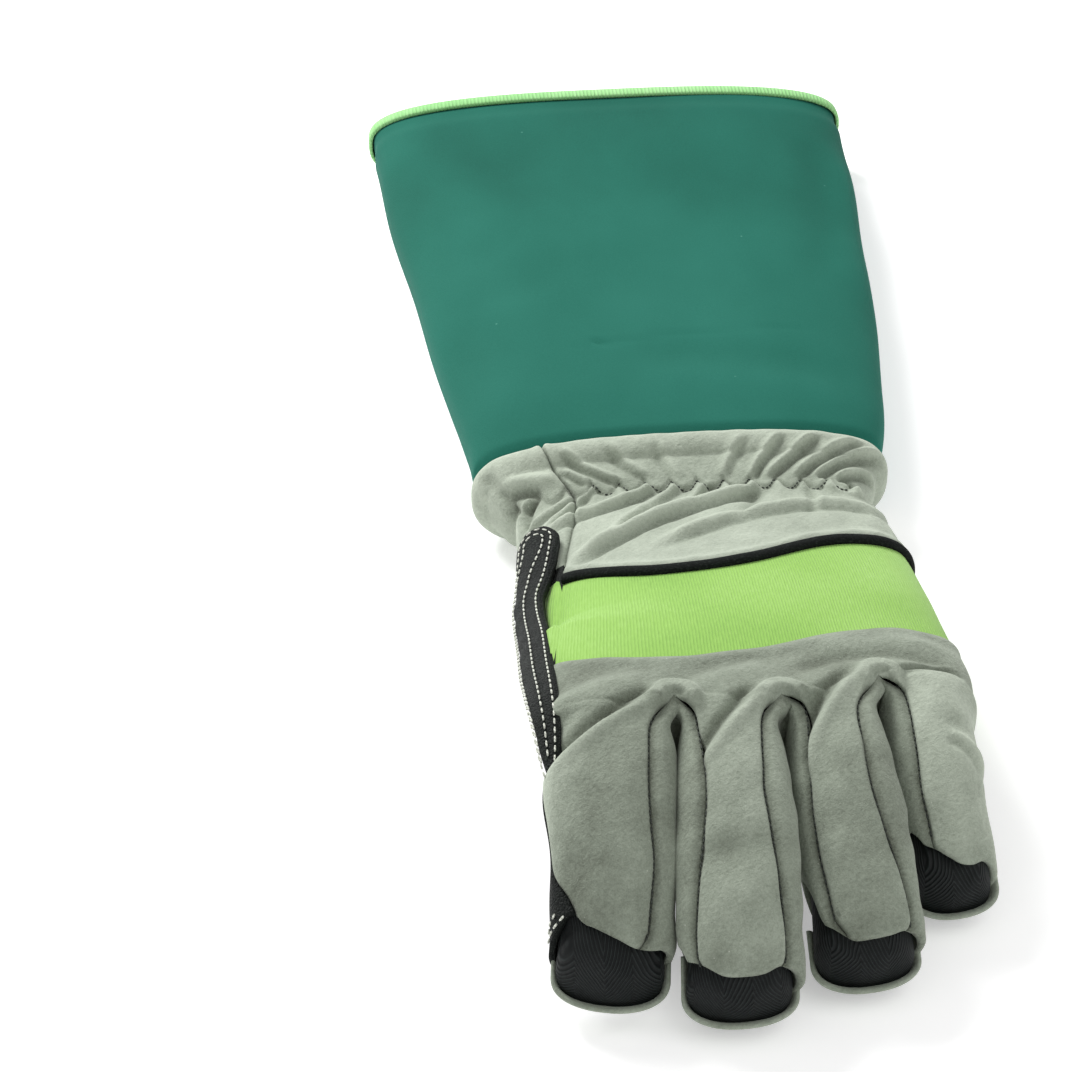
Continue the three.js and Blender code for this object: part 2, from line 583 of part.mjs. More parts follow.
// A half-round bead on the seam, from beside the strip to the little-finger side seam.
const PIPING_LANES = [0.24, 4.9];
function makePiping() {
  const frames = even(7 * LANE_COLUMNS).map((share) => {
    const lane = mix(...PIPING_LANES, share);
    const pointAt = (l) => backPoint(l, seamAt(l, "piping"), 2 * SEAM_GAP);
    const ahead = pointAt(lane + FINE_STEP).sub(pointAt(lane - FINE_STEP)).normalize();
    const out = ahead.clone().cross(new THREE.Vector3(0, 1, 0)).normalize();
    return { at: pointAt(lane), aside: out.clone().cross(ahead).normalize(), out };
  });
  const arch = even(5).map((share) => share * Math.PI);
  const outline = arch.map((a) => [(Math.cos(a) * PIPING_WIDTH) / 2, Math.sin(a) * PIPING_HEIGHT]);
  return carried(frames, outline, false);
}
function makeKnuckleBand() {
  const skin = (r, c) => {
    const lane = mix(LANE_GAP, 5 - LANE_GAP, c);
    const y = mix(seamAt(lane, "piping") - SEAM_GAP / 2, seamAt(lane, "knit") + SEAM_GAP / 2, r);
    return backPoint(lane, y);
  };
  return new Sheet().grid(even(4), even(5 * LANE_COLUMNS), skin, 1).thicken(KNIT);
}
// A long patch over the thumb-side seam, round at its wrist end and narrower at the knuckle.
const STRIP_LEVELS = [0, 0.02, 0.05, 0.15, 0.3, 0.45, 0.6, 0.75, 0.88, 1];
const STRIP_ROUND_END = 0.05;
const STRIP_BLUNT = 0.2;
function makeThumbStrip() {
  const skin = (r, c) => {
    const y = mix(-STRIP_START, -HAND_LENGTH, r);
    const round = Math.sqrt(1 - (1 - clamp(r / STRIP_ROUND_END, 0, 1)) ** 2);
    const width = mix(STRIP_WIDTH, STRIP_END_WIDTH, r) * Math.max(round, STRIP_BLUNT);
    const angle = backAngle(-section("seam", y)) + ((0.5 - c) * width) / (HAND_WIDTH / 4);
    const folds = Math.max(0, bandRelief(angle, y)) * ease((y + STRIP_START) / STRIP_WIDTH + 1);
    return sleevePoint(angle, y, 2.5 * SEAM_GAP + STRIP_WALL + folds);
  };
  return new Sheet().grid(STRIP_LEVELS, even(LANE_COLUMNS), skin, 1).thicken(STRIP_WALL);
}

// Pieces of the hand.
const between = (from, to, count) => even(count).map((share) => mix(from, to, share));
// The lanes of a sheet that belong to finger i, its side lane with them.
const fingerLanes = (lanes, i) =>
  lanes.filter((lane) => (i === 0 || lane > i - FINE_STEP) && (i === 3 || lane < i + 1 + FINE_STEP));
function makeHandBack() {
  const sheet = new Sheet();
  const side = between(4, 5 - LANE_GAP, SIDE_COLUMNS).slice(1);
  const lanes = [...between(LANE_GAP, 4, 4 * LANE_COLUMNS), ...side];
  const hand = (r, lane) => {
    const top = seamAt(Math.min(lane, 4), "knit") - SEAM_GAP / 2;
    return backPoint(lane, mix(top, backRoot(lane), r));
  };
  sheet.grid(even(HAND_ROWS_BACK), lanes, hand, 1);
  FINGERS.forEach((finger, i) => {
    const skin = (r, lane) => {
      const theta = lane > 4 ? BACK_SEAM * (9 - 2 * lane) : 180 - BACK_SEAM - (lane - i) * SPAN;
      return fingerPoint(i, theta, r * capTrim(theta, -SEAM_GAP));
    };
    sheet.grid(early(FINGER_ROWS), fingerLanes(lanes, i), skin, 1);
  });
  return sheet.thicken(SUEDE);
}
function makePalm() {
  const sheet = new Sheet();
  const side = between(-1 + LANE_GAP, 0, SIDE_COLUMNS).slice(0, -1);
  const last = between(3, 4 - LANE_GAP, LANE_COLUMNS).slice(1);
  const lanes = [...side, ...between(0, 3, 3 * LANE_COLUMNS), ...last];
  // Levels 0 to 3 are the heel, halfway, and the foot and head of the step that the thumb leaves from.
  const levels = (lane) => {
    const foot = -THUMB_SEAM;
    return [-HEEL_SEAM - SEAM_GAP / 2, (foot - HEEL_SEAM) / 2, foot, foot - THUMB_RISE, palmRoot(lane)];
  };
  const hand = (level, lane) => {
    const i = clamp(Math.floor(level), 0, 3);
    return palmPoint(lane, mix(levels(lane)[i], levels(lane)[i + 1], level - i));
  };
  const hole = (r, c) => r === 2 && lanes[c] > -FINE_STEP && lanes[c + 1] < THUMB_LANES + FINE_STEP;
  sheet.grid([0, 1, 2, ...between(3, 4, HAND_ROWS_PALM)], lanes, hand, -1, hole);
  FINGERS.forEach((finger, i) => {
    const skin = (r, lane) => {
      const theta = -180 + BACK_SEAM + (lane < 0 ? 2 * BACK_SEAM * lane : SPAN * (lane - i));
      return fingerPoint(i, theta, r * capTrim(theta, -SEAM_GAP));
    };
    sheet.grid(early(FINGER_ROWS), fingerLanes(lanes, i), skin, -1);
  });
  return sheet.thicken(LEATHER);
}

// The strip between finger i and the next: down one side from the tip, round the crotch and up the
// other. It passes under the back and over the palm where they meet the crotch.
function makeFork(i) {
  const skin = (r, c) => {
    const run = Math.abs(r) ** EARLY;
    const plain = BACK_SEAM * (1 - 2 * c);
    const reach = run * capTrim(plain, -SEAM_GAP);
    const turn = SEAM_TURN + CROTCH_TURN * (1 - notchAt(reach));
    const theta = plain * (1 - turn / BACK_SEAM);
    return r < 0 ? fingerPoint(i, theta, reach) : fingerPoint(i + 1, 180 - theta, reach);
  };
  const rows = even(2 * FINGER_ROWS).map((share) => 2 * share - 1);
  return new Sheet().grid(rows, even(LANE_COLUMNS), skin, -1).thicken(SUEDE);
}
// Columns round a whole finger, in turns from its palm side, in step with the panels' own columns.
const ROUND_COLUMNS = [BACK_SEAM - 180, -BACK_SEAM, BACK_SEAM, 180 - BACK_SEAM].flatMap((from, i) => {
  const span = i % 2 ? 2 * BACK_SEAM : SPAN;
  return even(i % 2 ? SIDE_COLUMNS : LANE_COLUMNS).slice(1).map((share) => (from + span * share) / 360);
});
ROUND_COLUMNS.unshift((BACK_SEAM - 180) / 360);
function makeCap(pointAt) {
  const skin = (r, c) => pointAt(360 * c, mix(capTrim(360 * c, SEAM_GAP), 2, r));
  return new Sheet().grid(even(CAP_ROWS), ROUND_COLUMNS, skin, -1).thicken(LEATHER);
}
function makeThumb() {
  const skin = (r, c) => thumbPoint(360 * c, r * capTrim(360 * c, -SEAM_GAP));
  return new Sheet().grid(even(FINGER_ROWS), ROUND_COLUMNS, skin, -1).thicken(LEATHER);
}

const material = (color, roughness) => new THREE.MeshStandardMaterial({ color, roughness, metalness: 0 });
const MATERIALS = {
  neoprene: material(0x2f7a67, 0.85),
  binding: material(0x8fd06a, 0.7),
  suede: material(0x949c90, 0.95),
  piping: material(0x1c1f1e, 0.8),
  knit: material(0xa8e276, 0.85),
  leather: material(0x1d2120, 0.6),
  ribbed: material(0x171b1a, 0.7),
};

const gauntlet = new THREE.Group();
gauntlet.name = "gauntlet";
function add(name, geometry, finish) {
  const mesh = new THREE.Mesh(geometry, MATERIALS[finish]);
  mesh.name = name;
  gauntlet.add(mesh);
}
add("cuff", makeCuff(), "neoprene");
add("cuff_binding", makeBinding(), "binding");
add("wrist_back", makeWristBack(), "suede");
add("wrist_front", makeWristFront(), "suede");
add("band_piping", makePiping(), "piping");
add("knuckle_band", makeKnuckleBand(), "knit");
add("thumb_strip", makeThumbStrip(), "leather");
add("hand_back", makeHandBack(), "suede");
add("palm", makePalm(), "leather");
["index_middle", "middle_ring", "ring_little"].forEach((pair, i) => {
  add(`fourchette_${pair}`, makeFork(i), "suede");
});
FINGERS.forEach((finger, i) => {
  add(`${finger.name}_cap`, makeCap((theta, reach) => fingerPoint(i, theta, reach)), "ribbed");
});
add("thumb", makeThumb(), "leather");
add("thumb_cap", makeCap(thumbPoint), "ribbed");

const box = new THREE.Box3().setFromObject(gauntlet);
const middle = box.getCenter(new THREE.Vector3());
gauntlet.position.set(-middle.x, -middle.y, -box.min.z);

export default gauntlet;
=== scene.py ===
"""Looks of a left-hand rose pruning gauntlet that lies back up, thumb folded under the palm."""

import math

import bpy
import numpy as np
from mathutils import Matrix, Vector


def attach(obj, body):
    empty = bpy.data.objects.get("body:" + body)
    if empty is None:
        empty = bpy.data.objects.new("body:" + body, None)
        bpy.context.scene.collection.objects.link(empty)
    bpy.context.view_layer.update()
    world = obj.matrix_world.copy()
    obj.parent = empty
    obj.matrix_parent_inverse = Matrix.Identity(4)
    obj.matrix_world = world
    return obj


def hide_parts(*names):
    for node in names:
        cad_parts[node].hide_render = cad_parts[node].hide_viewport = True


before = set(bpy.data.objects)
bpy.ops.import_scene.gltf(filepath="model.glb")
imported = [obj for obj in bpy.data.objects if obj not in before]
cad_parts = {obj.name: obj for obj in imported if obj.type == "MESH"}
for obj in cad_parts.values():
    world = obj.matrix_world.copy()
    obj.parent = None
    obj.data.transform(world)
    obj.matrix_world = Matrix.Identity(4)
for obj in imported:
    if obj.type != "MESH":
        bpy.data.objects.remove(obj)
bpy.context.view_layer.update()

# Lengths along the glove in millimetres, from the elastic line of the wrist.
SLEEVE_LENGTH = 209.0
HAND_LENGTH = 111.0
BAND_EDGE = 19.0
CUFF_LAP = 10.0
HEEL_SEAM = 36.0
FINGER_LENGTH = 62.0
# Widths, heights, walls and trims of the flattened tube, in millimetres.
MOUTH_WIDTH = 144.0
WRIST_WIDTH = 91.0
HAND_WIDTH = 98.0
CUFF_HEIGHT = 28.0
WRIST_HEIGHT = 25.0
KNUCKLE_HEIGHT = 48.0
LITTLE_KNUCKLE_HEIGHT = 38.0
PALM_LIFT = 21.0
LITTLE_LIFT = 11.0
FINGER_WIDTH = 25.0
FINGER_CLEARANCE = 1.3
TIP_HEIGHT = 17.5
TIP_DEPTH = 7.0
THUMB_LENGTH = 60.0
THUMB_WIDTH = 28.0
THUMB_HEIGHT = 18.0
THUMB_SEAM = 66.0
THUMB_RISE = 8.0
NEOPRENE = 3.5
SUEDE = 1.5
KNIT = 1.4
LEATHER = 1.4
STRIP_WALL = 1.1
BAND_PUFF = 2.4
# How far the panels' ends are moved from the caps' seams, in millimetres.
PANEL_SHIFT = -0.1
# Seams round a finger in degrees, roundness of the sections, and the shares that shape the sole.
PANEL_SEAM = 43.0
SLEEVE_ROUND = 0.7
FINGER_ROUND = 0.88
TIP_ROUND = 0.8
SOLE_FLAT = 1.12
NOTCH_LENGTH = 0.15
THUMB_BLEND = 0.22
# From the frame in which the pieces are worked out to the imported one.
TO_FRAME = np.array([-1.0018, -18.1417, 0.0])


def columns(names, rows):
    """A table as a dict of arrays, one for each named column."""
    return dict(zip(names.split(), np.array(rows, float).T))


# Sections along the glove, in shares: the place of its zone's length, how far it reaches left and right of its
# width, its crown of the zone's height, its side fold of the crown, and the thumb-side seam of the half width.
ROW_NAMES = "at left right crown fold seam"
CUFF_ROWS = columns(ROW_NAMES, [
    (1.0, 0.493, 0.507, 1.0, 0.5, 0.66),
    (0.66, 0.456, 0.465, 1.0, 0.5, 0.66),
    (0.455, 0.424, 0.437, 1.0, 0.5, 0.66),
    (0.273, 0.399, 0.407, 1.0, 0.5, 0.66),
    (0.158, 0.376, 0.38, 0.98, 0.5, 0.66),
])
WRIST_ROWS = columns(ROW_NAMES, [
    (0.18, 0.585, 0.562, 1.06, 0.5, 0.68),
    (0.09, 0.56, 0.532, 1.03, 0.5, 0.67),
    (0.0, 0.508, 0.497, 1.0, 0.5, 0.66),
    (-0.08, 0.487, 0.511, 1.02, 0.5, 0.7),
])
HAND_ROWS = columns(ROW_NAMES, [
    (0.15, 0.441, 0.486, 0.58, 0.5, 0.76),
    (0.3, 0.432, 0.494, 0.66, 0.5, 0.86),
    (0.464, 0.436, 0.502, 0.76, 0.5, 0.91),
    (0.66, 0.452, 0.51, 0.86, 0.56, 0.94),
    (0.83, 0.472, 0.517, 0.94, 0.64, 0.96),
    (1.0, 0.49, 0.512, 1.0, 0.7, 0.97),
    (1.2, 0.5, 0.512, 1.0, 0.7, 0.97),
])
# How far from the elastic the fingers' roots are on the back and in the palm, in shares of the hand's length,
# by where they are across it.
ROOT_LINE = columns("across back palm", [
    (-1, 1.02, 1.08),
    (-0.435, 0.998, 1.12),
    (0.047, 0.99, 1.12),
    (0.518, 0.9, 1.03),
    (1, 0.84, 0.94),
])
# Seams across the back as they look with the cloth puffed beside them.
BACK_SEAMS = columns("across piping knit", [
    (-1, 0.385, 0.83),
    (-0.45, 0.455, 0.855),
    (0.05, 0.42, 0.805),
    (0.5, 0.335, 0.725),
    (1, 0.285, 0.69),
])
# Each finger's length and width in shares, how far it heads aside, and how it is rolled at its tip, in degrees.
FINGER_NAMES = ["index", "middle", "ring", "little"]
FINGERS = columns("length spread width roll", [
    (0.865, -0.123, 1.02, -8),
    (1.0, -0.079, 1.0, 8),
    (0.955, -0.003, 0.95, 9),
    (0.76, 0.011, 0.8, 10),
])
# How a finger droops and widens, in shares, by the share of its length.
DROOP = columns("at top sole width", [
    (0, 1, 1, 0),
    (0.2, 0.93, 0.99, 0.55),
    (0.45, 0.76, 0.85, 1),
    (0.7, 0.46, 0.4, 1),
    (0.9, 0.14, 0.06, 0.97),
    (1, 0, 0, 0.95),
])
# Reach at which each finger's panels end, by degrees round it: 90 is the middle of its back.
TRIMS = columns("at index middle ring little thumb", [
    (-180, 0.98, 0.86, 0.7, 0.85, 1.08),
    (-135, 0.95, 0.86, 0.78, 0.9, 0.98),
    (-90, 0.9, 0.9, 0.9, 0.9, 0.9),
    (-45, 0.9, 0.98, 0.98, 1.0, 0.98),
    (0, 1.0, 1.1, 1.06, 1.1, 1.08),
    (30, 1.12, 1.18, 1.18, 1.22, 1.2),
    (50, 1.26, 1.26, 1.28, 1.32, 1.32),
    (68, 1.29, 1.43, 1.4, 1.43, 1.4),
    (90, 1.16, 1.49, 1.46, 1.41, 1.42),
    (112, 1.0, 1.44, 1.42, 1.14, 1.4),
    (130, 0.95, 1.22, 1.14, 0.97, 1.32),
    (150, 0.97, 1.0, 0.87, 0.88, 1.2),
    (180, 0.98, 0.86, 0.7, 0.85, 1.08),
])
# Degrees above the side of the seams beside each finger's back panel, by reach.
SEAM_ANGLES = columns("at index_left middle_left ring_left little_left index_right middle_right ring_right", [
    (0, 43, 43, 43, 43, 43, 43, 43),
    (0.05, 34, 52, 54, 56, 51, 52, 56),
    (0.12, 24, 54, 57, 65, 56, 56, 66),
    (0.3, 8, 61, 52, 66, 56, 60, 70),
    (0.45, 3, 63, 48, 64, 55, 62, 71),
    (0.6, 4, 58, 45, 62, 51, 57, 67),
    (0.75, 20, 50, 46, 61, 47, 50, 57),
    (0.95, 56, 43, 53, 64, 51, 44, 41),
    (1.3, 70, 48, 64, 68, 60, 46, 44),
])


def ease(t):
    """Smooth step from 0 to 1."""
    t = np.clip(t, 0, 1)
    return t * t * (3 - 2 * t)


def bell(x):
    """A smooth hump: e to the minus x squared, 1 at 0 and dying out past 1."""
    return np.exp(-(x ** 2))


def alike(*values):
    """The values as float arrays of one common shape."""
    return np.broadcast_arrays(*(np.asarray(value, float) for value in values))


def mix(a, b, t):
    """The value a share t of the way from a to b."""
    return a + (b - a) * t


def power(v, p):
    """v raised to p with its sign kept."""
    return np.sign(v) * np.abs(v) ** p


def read_table(table, key, column, at):
    """A column read on a smooth Hermite curve through its rows, held level past the ends."""
    keys, values = table[key], table[column]
    last = len(keys) - 1
    at = np.asarray(at, float)
    i = np.searchsorted(keys[1:last], at, side="left")
    before, after = np.maximum(i - 1, 0), np.minimum(i + 2, last)
    span = keys[i + 1] - keys[i]
    start = (values[i + 1] - values[before]) / (keys[i + 1] - keys[before]) * span
    end = (values[after] - values[i]) / (keys[after] - keys[i]) * span
    t = np.clip((at - keys[i]) / span, 0, 1)
    t2, t3 = t * t, t * t * t
    ends = values[i] * (2 * t3 - 3 * t2 + 1) + values[i + 1] * (3 * t2 - 2 * t3)
    return ends + start * (t3 - 2 * t2 + t) + end * (t3 - t2)


def zone(rows, length, width, height):
    """Shares of a zone turned into millimetres."""
    crown = rows["crown"] * height
    return [rows["at"] * length, rows["left"] * width, rows["right"] * width, crown, rows["fold"] * crown,
            rows["seam"]]


# All sections in millimetres, then in the order of y.
stations = np.concatenate([
    zone(CUFF_ROWS, SLEEVE_LENGTH, MOUTH_WIDTH, CUFF_HEIGHT),
    zone(WRIST_ROWS, HAND_LENGTH, WRIST_WIDTH, WRIST_HEIGHT),
    zone(HAND_ROWS, -HAND_LENGTH, HAND_WIDTH, KNUCKLE_HEIGHT),
], axis=1)
STATIONS = dict(zip(["y", "left", "right", "crown", "fold", "seam"], stations[:, np.argsort(stations[0])]))


def section(column, y):
    """A column of the glove's sections at y."""
    return read_table(STATIONS, "y", column, y)


def sole_height(across, y):
    """Height of the sole: a step over the thumb, a long slope beside it, a rise to the little finger."""
    slope = THUMB_RISE * mix(1, 5, ease((across + 0.3) / 0.4))
    step = np.clip((-y - THUMB_SEAM) / slope, 0, 1)
    little = ease((-y / HAND_LENGTH - 0.35) / 0.65) * LITTLE_LIFT
    return mix(step * PALM_LIFT, little, ease((across + 0.3) / 0.9))


def sleeve_point(angle, y, out=0.0):
    """A squarish ellipse round the arm at y, flat where it lies on the floor, with its crown tilted
    towards the little finger over the knuckles. out moves it outwards."""
    angle, y, out = alike(angle, y, out)
    across, rise = power(np.cos(angle), SLEEVE_ROUND), power(np.sin(angle), SLEEVE_ROUND)
    left, right = section("left", y) + out, section("right", y) + out
    tilt = ease((-y / HAND_LENGTH - 0.15) / 0.85) * (KNUCKLE_HEIGHT - LITTLE_KNUCKLE_HEIGHT)
    crown = section("crown", y) - tilt * (across + 1) / 2 + out
    sole = np.maximum(0, sole_height(across, y) - out)
    fold = mix(sole, crown, section("fold", y) / section("crown", y))
    z = np.where(rise > 0, mix(fold, crown, rise), mix(fold, sole, np.minimum(1, -rise * SOLE_FLAT)))
    return np.stack([(right - left) / 2 + (right + left) / 2 * across, y, z], -1)


def back_angle(across):
    """The angle at which the back is that share of the half width across."""
    return np.arccos(np.clip(power(across, 1 / SLEEVE_ROUND), -1, 1))


# Where the fingers part and where the back's rim is, in shares of the half width; the angle of the seam down
# the little finger's side, and its share.
SPLITS = ROOT_LINE["across"][1:4]
BACK_RIM = 0.93
LITTLE_SEAM = math.radians(-30)
LITTLE_RIM = power(np.cos(LITTLE_SEAM), SLEEVE_ROUND)


def lane_across(edges, lane):
    """Where a lane lies between the edges of its finger; edges may be arrays."""
    i = np.clip(np.floor(lane), 0, 3).astype(int)
    edges = np.stack(np.broadcast_arrays(*edges, lane)[:-1])
    low = np.take_along_axis(edges, i[None], 0)[0]
    high = np.take_along_axis(edges, i[None] + 1, 0)[0]
    return mix(low, high, lane - i)


def back_lane(lane, y):
    """Angle of a lane of the back: 0 to 4 cross the fingers, 4 to 5 goes down the little side."""
    lane, y = alike(lane, y)
    over = back_angle(lane_across([-section("seam", y), *SPLITS, BACK_RIM], np.minimum(lane, 4)))
    return np.where(lane > 4, mix(back_angle(BACK_RIM), LITTLE_SEAM, lane - 4), over)


def palm_lane(lane, y):
    """Angle of a lane of the palm: -1 to 0 comes down the thumb side, 0 to 4 crosses underneath."""
    lane, y = alike(lane, y)
    rim = 2 * math.pi - back_angle(-BACK_RIM)
    side = mix(rim, back_angle(-section("seam", y)), -lane)
    under = lane_across([-BACK_RIM, *SPLITS, LITTLE_RIM], np.maximum(lane, 0))
    return np.where(lane < 0, side, -back_angle(under))


def line_across(lane):
    """Share of the half width at which a lane meets the root line."""
    lane = np.asarray(lane, float)
    return lane_across([-1.0, *SPLITS, 1.0], np.clip(lane, 0, 4))


def root_at(lane, side):
    """y of the fingers' roots on that side."""
    return -read_table(ROOT_LINE, "across", side, line_across(lane)) * HAND_LENGTH


def seam_at(lane, seam):
    """y of a seam across the back."""
    return -read_table(BACK_SEAMS, "across", seam, line_across(lane)) * HAND_LENGTH


def back_root(lane):
    """y at which a lane of the back reaches the fingers' roots."""
    return np.where(lane > 4, mix(root_at(4, "back"), root_at(4, "palm"), lane - 4), root_at(lane, "back"))


def palm_root(lane):
    """y at which a lane of the palm reaches the fingers' roots."""
    return np.where(lane < 0, mix(root_at(0, "palm"), root_at(0, "back"), -lane), root_at(lane, "palm"))


def back_point(lane, y, out=0.0):
    """A point of the back by lane and y."""
    return sleeve_point(back_lane(lane, y), y, out)


def palm_point(lane, y, out=0.0):
    """A point of the palm by lane and y."""
    return sleeve_point(palm_lane(lane, y), y, out)


def wrapped(theta):
    """Degrees brought to between -180 and 180."""
    return (theta + 180) % 360 - 180


def root_loop(i, theta):
    """The loop of skin that finger i grows from; theta is 90 at the middle of its back."""
    seam, span = PANEL_SEAM, 180 - 2 * PANEL_SEAM
    turned = wrapped(theta)

    def on_back(lane):
        """The root line's point on the back at a lane."""
        return back_point(lane, back_root(lane))

    def on_palm(lane):
        """The root line's point in the palm at a lane."""
        return palm_point(lane, palm_root(lane))

    def down_side(down, corner):
        """A straight line from the back's point to the palm's at a whole lane."""
        return mix(on_back(corner + 0 * down), on_palm(corner + 0 * down), down[..., None])

    back = on_back(i + np.clip((180 - seam - turned) / span, 0, 1))
    palm = on_palm(i + np.clip((turned + 180 - seam) / span, 0, 1))
    down = np.clip((seam - turned) / (2 * seam), 0, 1)
    right = on_back(4 + down) if i == 3 else down_side(down, float(i + 1))
    down = np.clip((np.where(turned > 0, turned, turned + 360) - 180 + seam) / (2 * seam), 0, 1)
    left = on_palm(down - 1) if i == 0 else down_side(down, float(i))
    on_top = (np.abs(turned - 90) <= 90 - seam)[..., None]
    under = (np.abs(turned + 90) <= 90 - seam)[..., None]
    beside = (np.abs(turned) < seam)[..., None]
    return np.where(on_top, back, np.where(under, palm, np.where(beside, right, left)))


def along_finger(reach, length):
    """Share of the length and size of the section at a reach: 0 root, 1 start of the round end, 2 pole."""
    straight = 1 - TIP_DEPTH / length
    curl = np.clip(reach - 1, 0, 1) * (math.pi / 2)
    at = np.where(reach > 1, straight + (1 - straight) * np.sin(curl), reach * straight)
    return at, np.where(reach > 1, np.clip(np.cos(curl), 0, 1) ** TIP_ROUND, 1.0)


def finger_section(i, theta, reach):
    """A drooping round tube along the finger's own heading, rolled towards its tip."""
    length, spread, width_share, roll_end = (FINGERS[k][i] for k in ("length", "spread", "width", "roll"))
    length = length * FINGER_LENGTH
    at, shrink = along_finger(reach, length)
    lane = i + 0.5
    back, palm = back_point(lane, root_at(lane, "back")), palm_point(lane, root_at(lane, "palm"))
    top = mix(TIP_HEIGHT, back[2], read_table(DROOP, "at", "top", at))
    sole = palm[2] * read_table(DROOP, "at", "sole", at)
    half_hand = (section("left", back[1]) + section("right", back[1])) / 2
    root_width = (line_across(i + 1.0) - line_across(float(i))) * half_hand - FINGER_CLEARANCE
    width = mix(root_width, width_share * FINGER_WIDTH, read_table(DROOP, "at", "width", at)) * shrink
    height = (top - sole) * shrink
    roll = math.radians(roll_end) * ease(at)
    a = np.radians(theta) - roll
    across = power(np.cos(a), FINGER_ROUND) * width / 2
    up = power(np.sin(a), FINGER_ROUND) * height / 2
    heading = np.array([spread, -1]) / math.hypot(spread, 1)
    root_y = mix(palm[1], back[1], (1 + np.sin(a)) / 2)
    tip_y = back[1] + heading[1] * length
    return np.stack([
        back[0] + heading[0] * at * length + np.cos(roll) * across - np.sin(roll) * up,
        mix(root_y, tip_y, at) + across * heading[0],
        np.maximum(0, (top + sole) / 2 + np.cos(roll) * up + np.sin(roll) * across),
    ], -1)


def notch_at(reach):
    """How far a finger has parted from its neighbours at a reach."""
    return np.sqrt(1 - (1 - np.clip(reach / NOTCH_LENGTH, 0, 1)) ** 2)


def finger_point(i, theta, reach):
    """Skin of finger i: its root loop turning into its own tube."""
    theta, reach = alike(theta, reach)
    return mix(root_loop(i, theta), finger_section(i, theta, reach), notch_at(reach)[..., None])


def trim_at(finger, theta, shift=0.0):
    """Reach at which a finger's panels end, moved along by so many millimetres."""
    trim = read_table(TRIMS, "at", finger, wrapped(theta))
    curl = np.clip(trim - 1, 0, 0.9) * (math.pi / 2)
    return trim + shift / np.where(trim > 1, TIP_DEPTH * math.pi * np.cos(curl) / 2, FINGER_LENGTH)


# How many lanes of the palm the thumb's hole takes, and the degrees of its short sides.
THUMB_LANES = 1.25
THUMB_CORNER = 30.0


def thumb_ring(theta):
    """The thumb's ring in the palm: the foot of the step, its head, and the short sides between."""
    turned = wrapped(theta)
    run = 180 - 2 * THUMB_CORNER

    def foot(share):
        """The step's foot at a share of the thumb's lanes."""
        return palm_point(share * THUMB_LANES, -THUMB_SEAM)

    def head(share):
        """The step's head at a share of the thumb's lanes."""
        return palm_point(share * THUMB_LANES, -THUMB_SEAM - THUMB_RISE)

    top = head(np.clip((180 - THUMB_CORNER - turned) / run, 0, 1))
    low = foot(np.clip((turned + 180 - THUMB_CORNER) / run, 0, 1))
    ones = np.ones_like(turned)
    down = np.clip((THUMB_CORNER - turned) / (2 * THUMB_CORNER), 0, 1)[..., None]
    right = mix(head(ones), foot(ones), down)
    down = ((np.where(turned > 0, turned, turned + 360) - 180 + THUMB_CORNER) / (2 * THUMB_CORNER))[..., None]
    left = mix(head(0 * ones), foot(0 * ones), np.clip(down, 0, 1))
    on_top = (np.abs(turned - 90) <= 90 - THUMB_CORNER)[..., None]
    under = (np.abs(turned + 90) <= 90 - THUMB_CORNER)[..., None]
    beside = (np.abs(turned) < THUMB_CORNER)[..., None]
    return np.where(on_top, top, np.where(under, low, np.where(beside, right, left)))


def thumb_point(theta, reach):
    """The thumb: its ring of skin turning into a round tube that lies along the floor."""
    theta, reach = alike(theta, reach)
    centre = (thumb_ring(np.array(THUMB_CORNER)) + thumb_ring(np.array(180 + THUMB_CORNER))) / 2
    at, shrink = along_finger(reach, THUMB_LENGTH)
    a = np.radians(theta)
    skin = np.stack([
        centre[0] - at * 4 + power(np.cos(a), FINGER_ROUND) * THUMB_WIDTH * shrink * mix(1.06, 0.94, at) / 2,
        -THUMB_SEAM - THUMB_RISE - at * THUMB_LENGTH,
        (1 + power(np.sin(a), FINGER_ROUND) * shrink) * THUMB_HEIGHT / 2,
    ], -1)
    return mix(thumb_ring(theta), skin, ease(reach / THUMB_BLEND)[..., None])


def folds(table, x, y):
    """Height in millimetres of a table of folds at x, y. Each is a line between two points, bowed sideways by
    bow, tall in the middle and dying out at its ends, with a trough on one side of its ridge."""
    total = np.zeros(np.broadcast(x, y).shape)
    for x0, y0, x1, y1, bow, wide, tall, trough in zip(*table.values()):
        run = np.array([x1 - x0, y1 - y0])
        length = np.hypot(*run)
        run = run / length
        t = ((x - x0) * run[0] + (y - y0) * run[1]) / length
        aside = (y - y0) * run[0] - (x - x0) * run[1] - 4 * bow * t * (1 - t)
        along = ease((1.12 - np.abs(2 * t - 1)) / 0.5)
        ridge = bell(aside / wide)
        beside = bell((aside - 1.5 * wide) / (0.9 * wide))
        total += along * (tall * ridge - trough * beside)
    return total


def ripple(x, y, scale, seed):
    """Soft unevenness, mostly between -1 and 1: six crossed waves of about that wavelength, added up and
    divided by three."""
    angles = np.arange(6) * 1.1 + seed
    lengths = scale * (0.7 + 0.13 * np.arange(6))
    waves = [np.sin((x * np.cos(a) + y * np.sin(a)) * 2 * math.pi / n + 3.7 * a)
             for a, n in zip(angles, lengths)]
    return sum(waves) / 3


def unit(v):
    """Vectors brought to length 1."""
    return v / np.maximum(np.linalg.norm(v, axis=-1, keepdims=True), 1e-12)


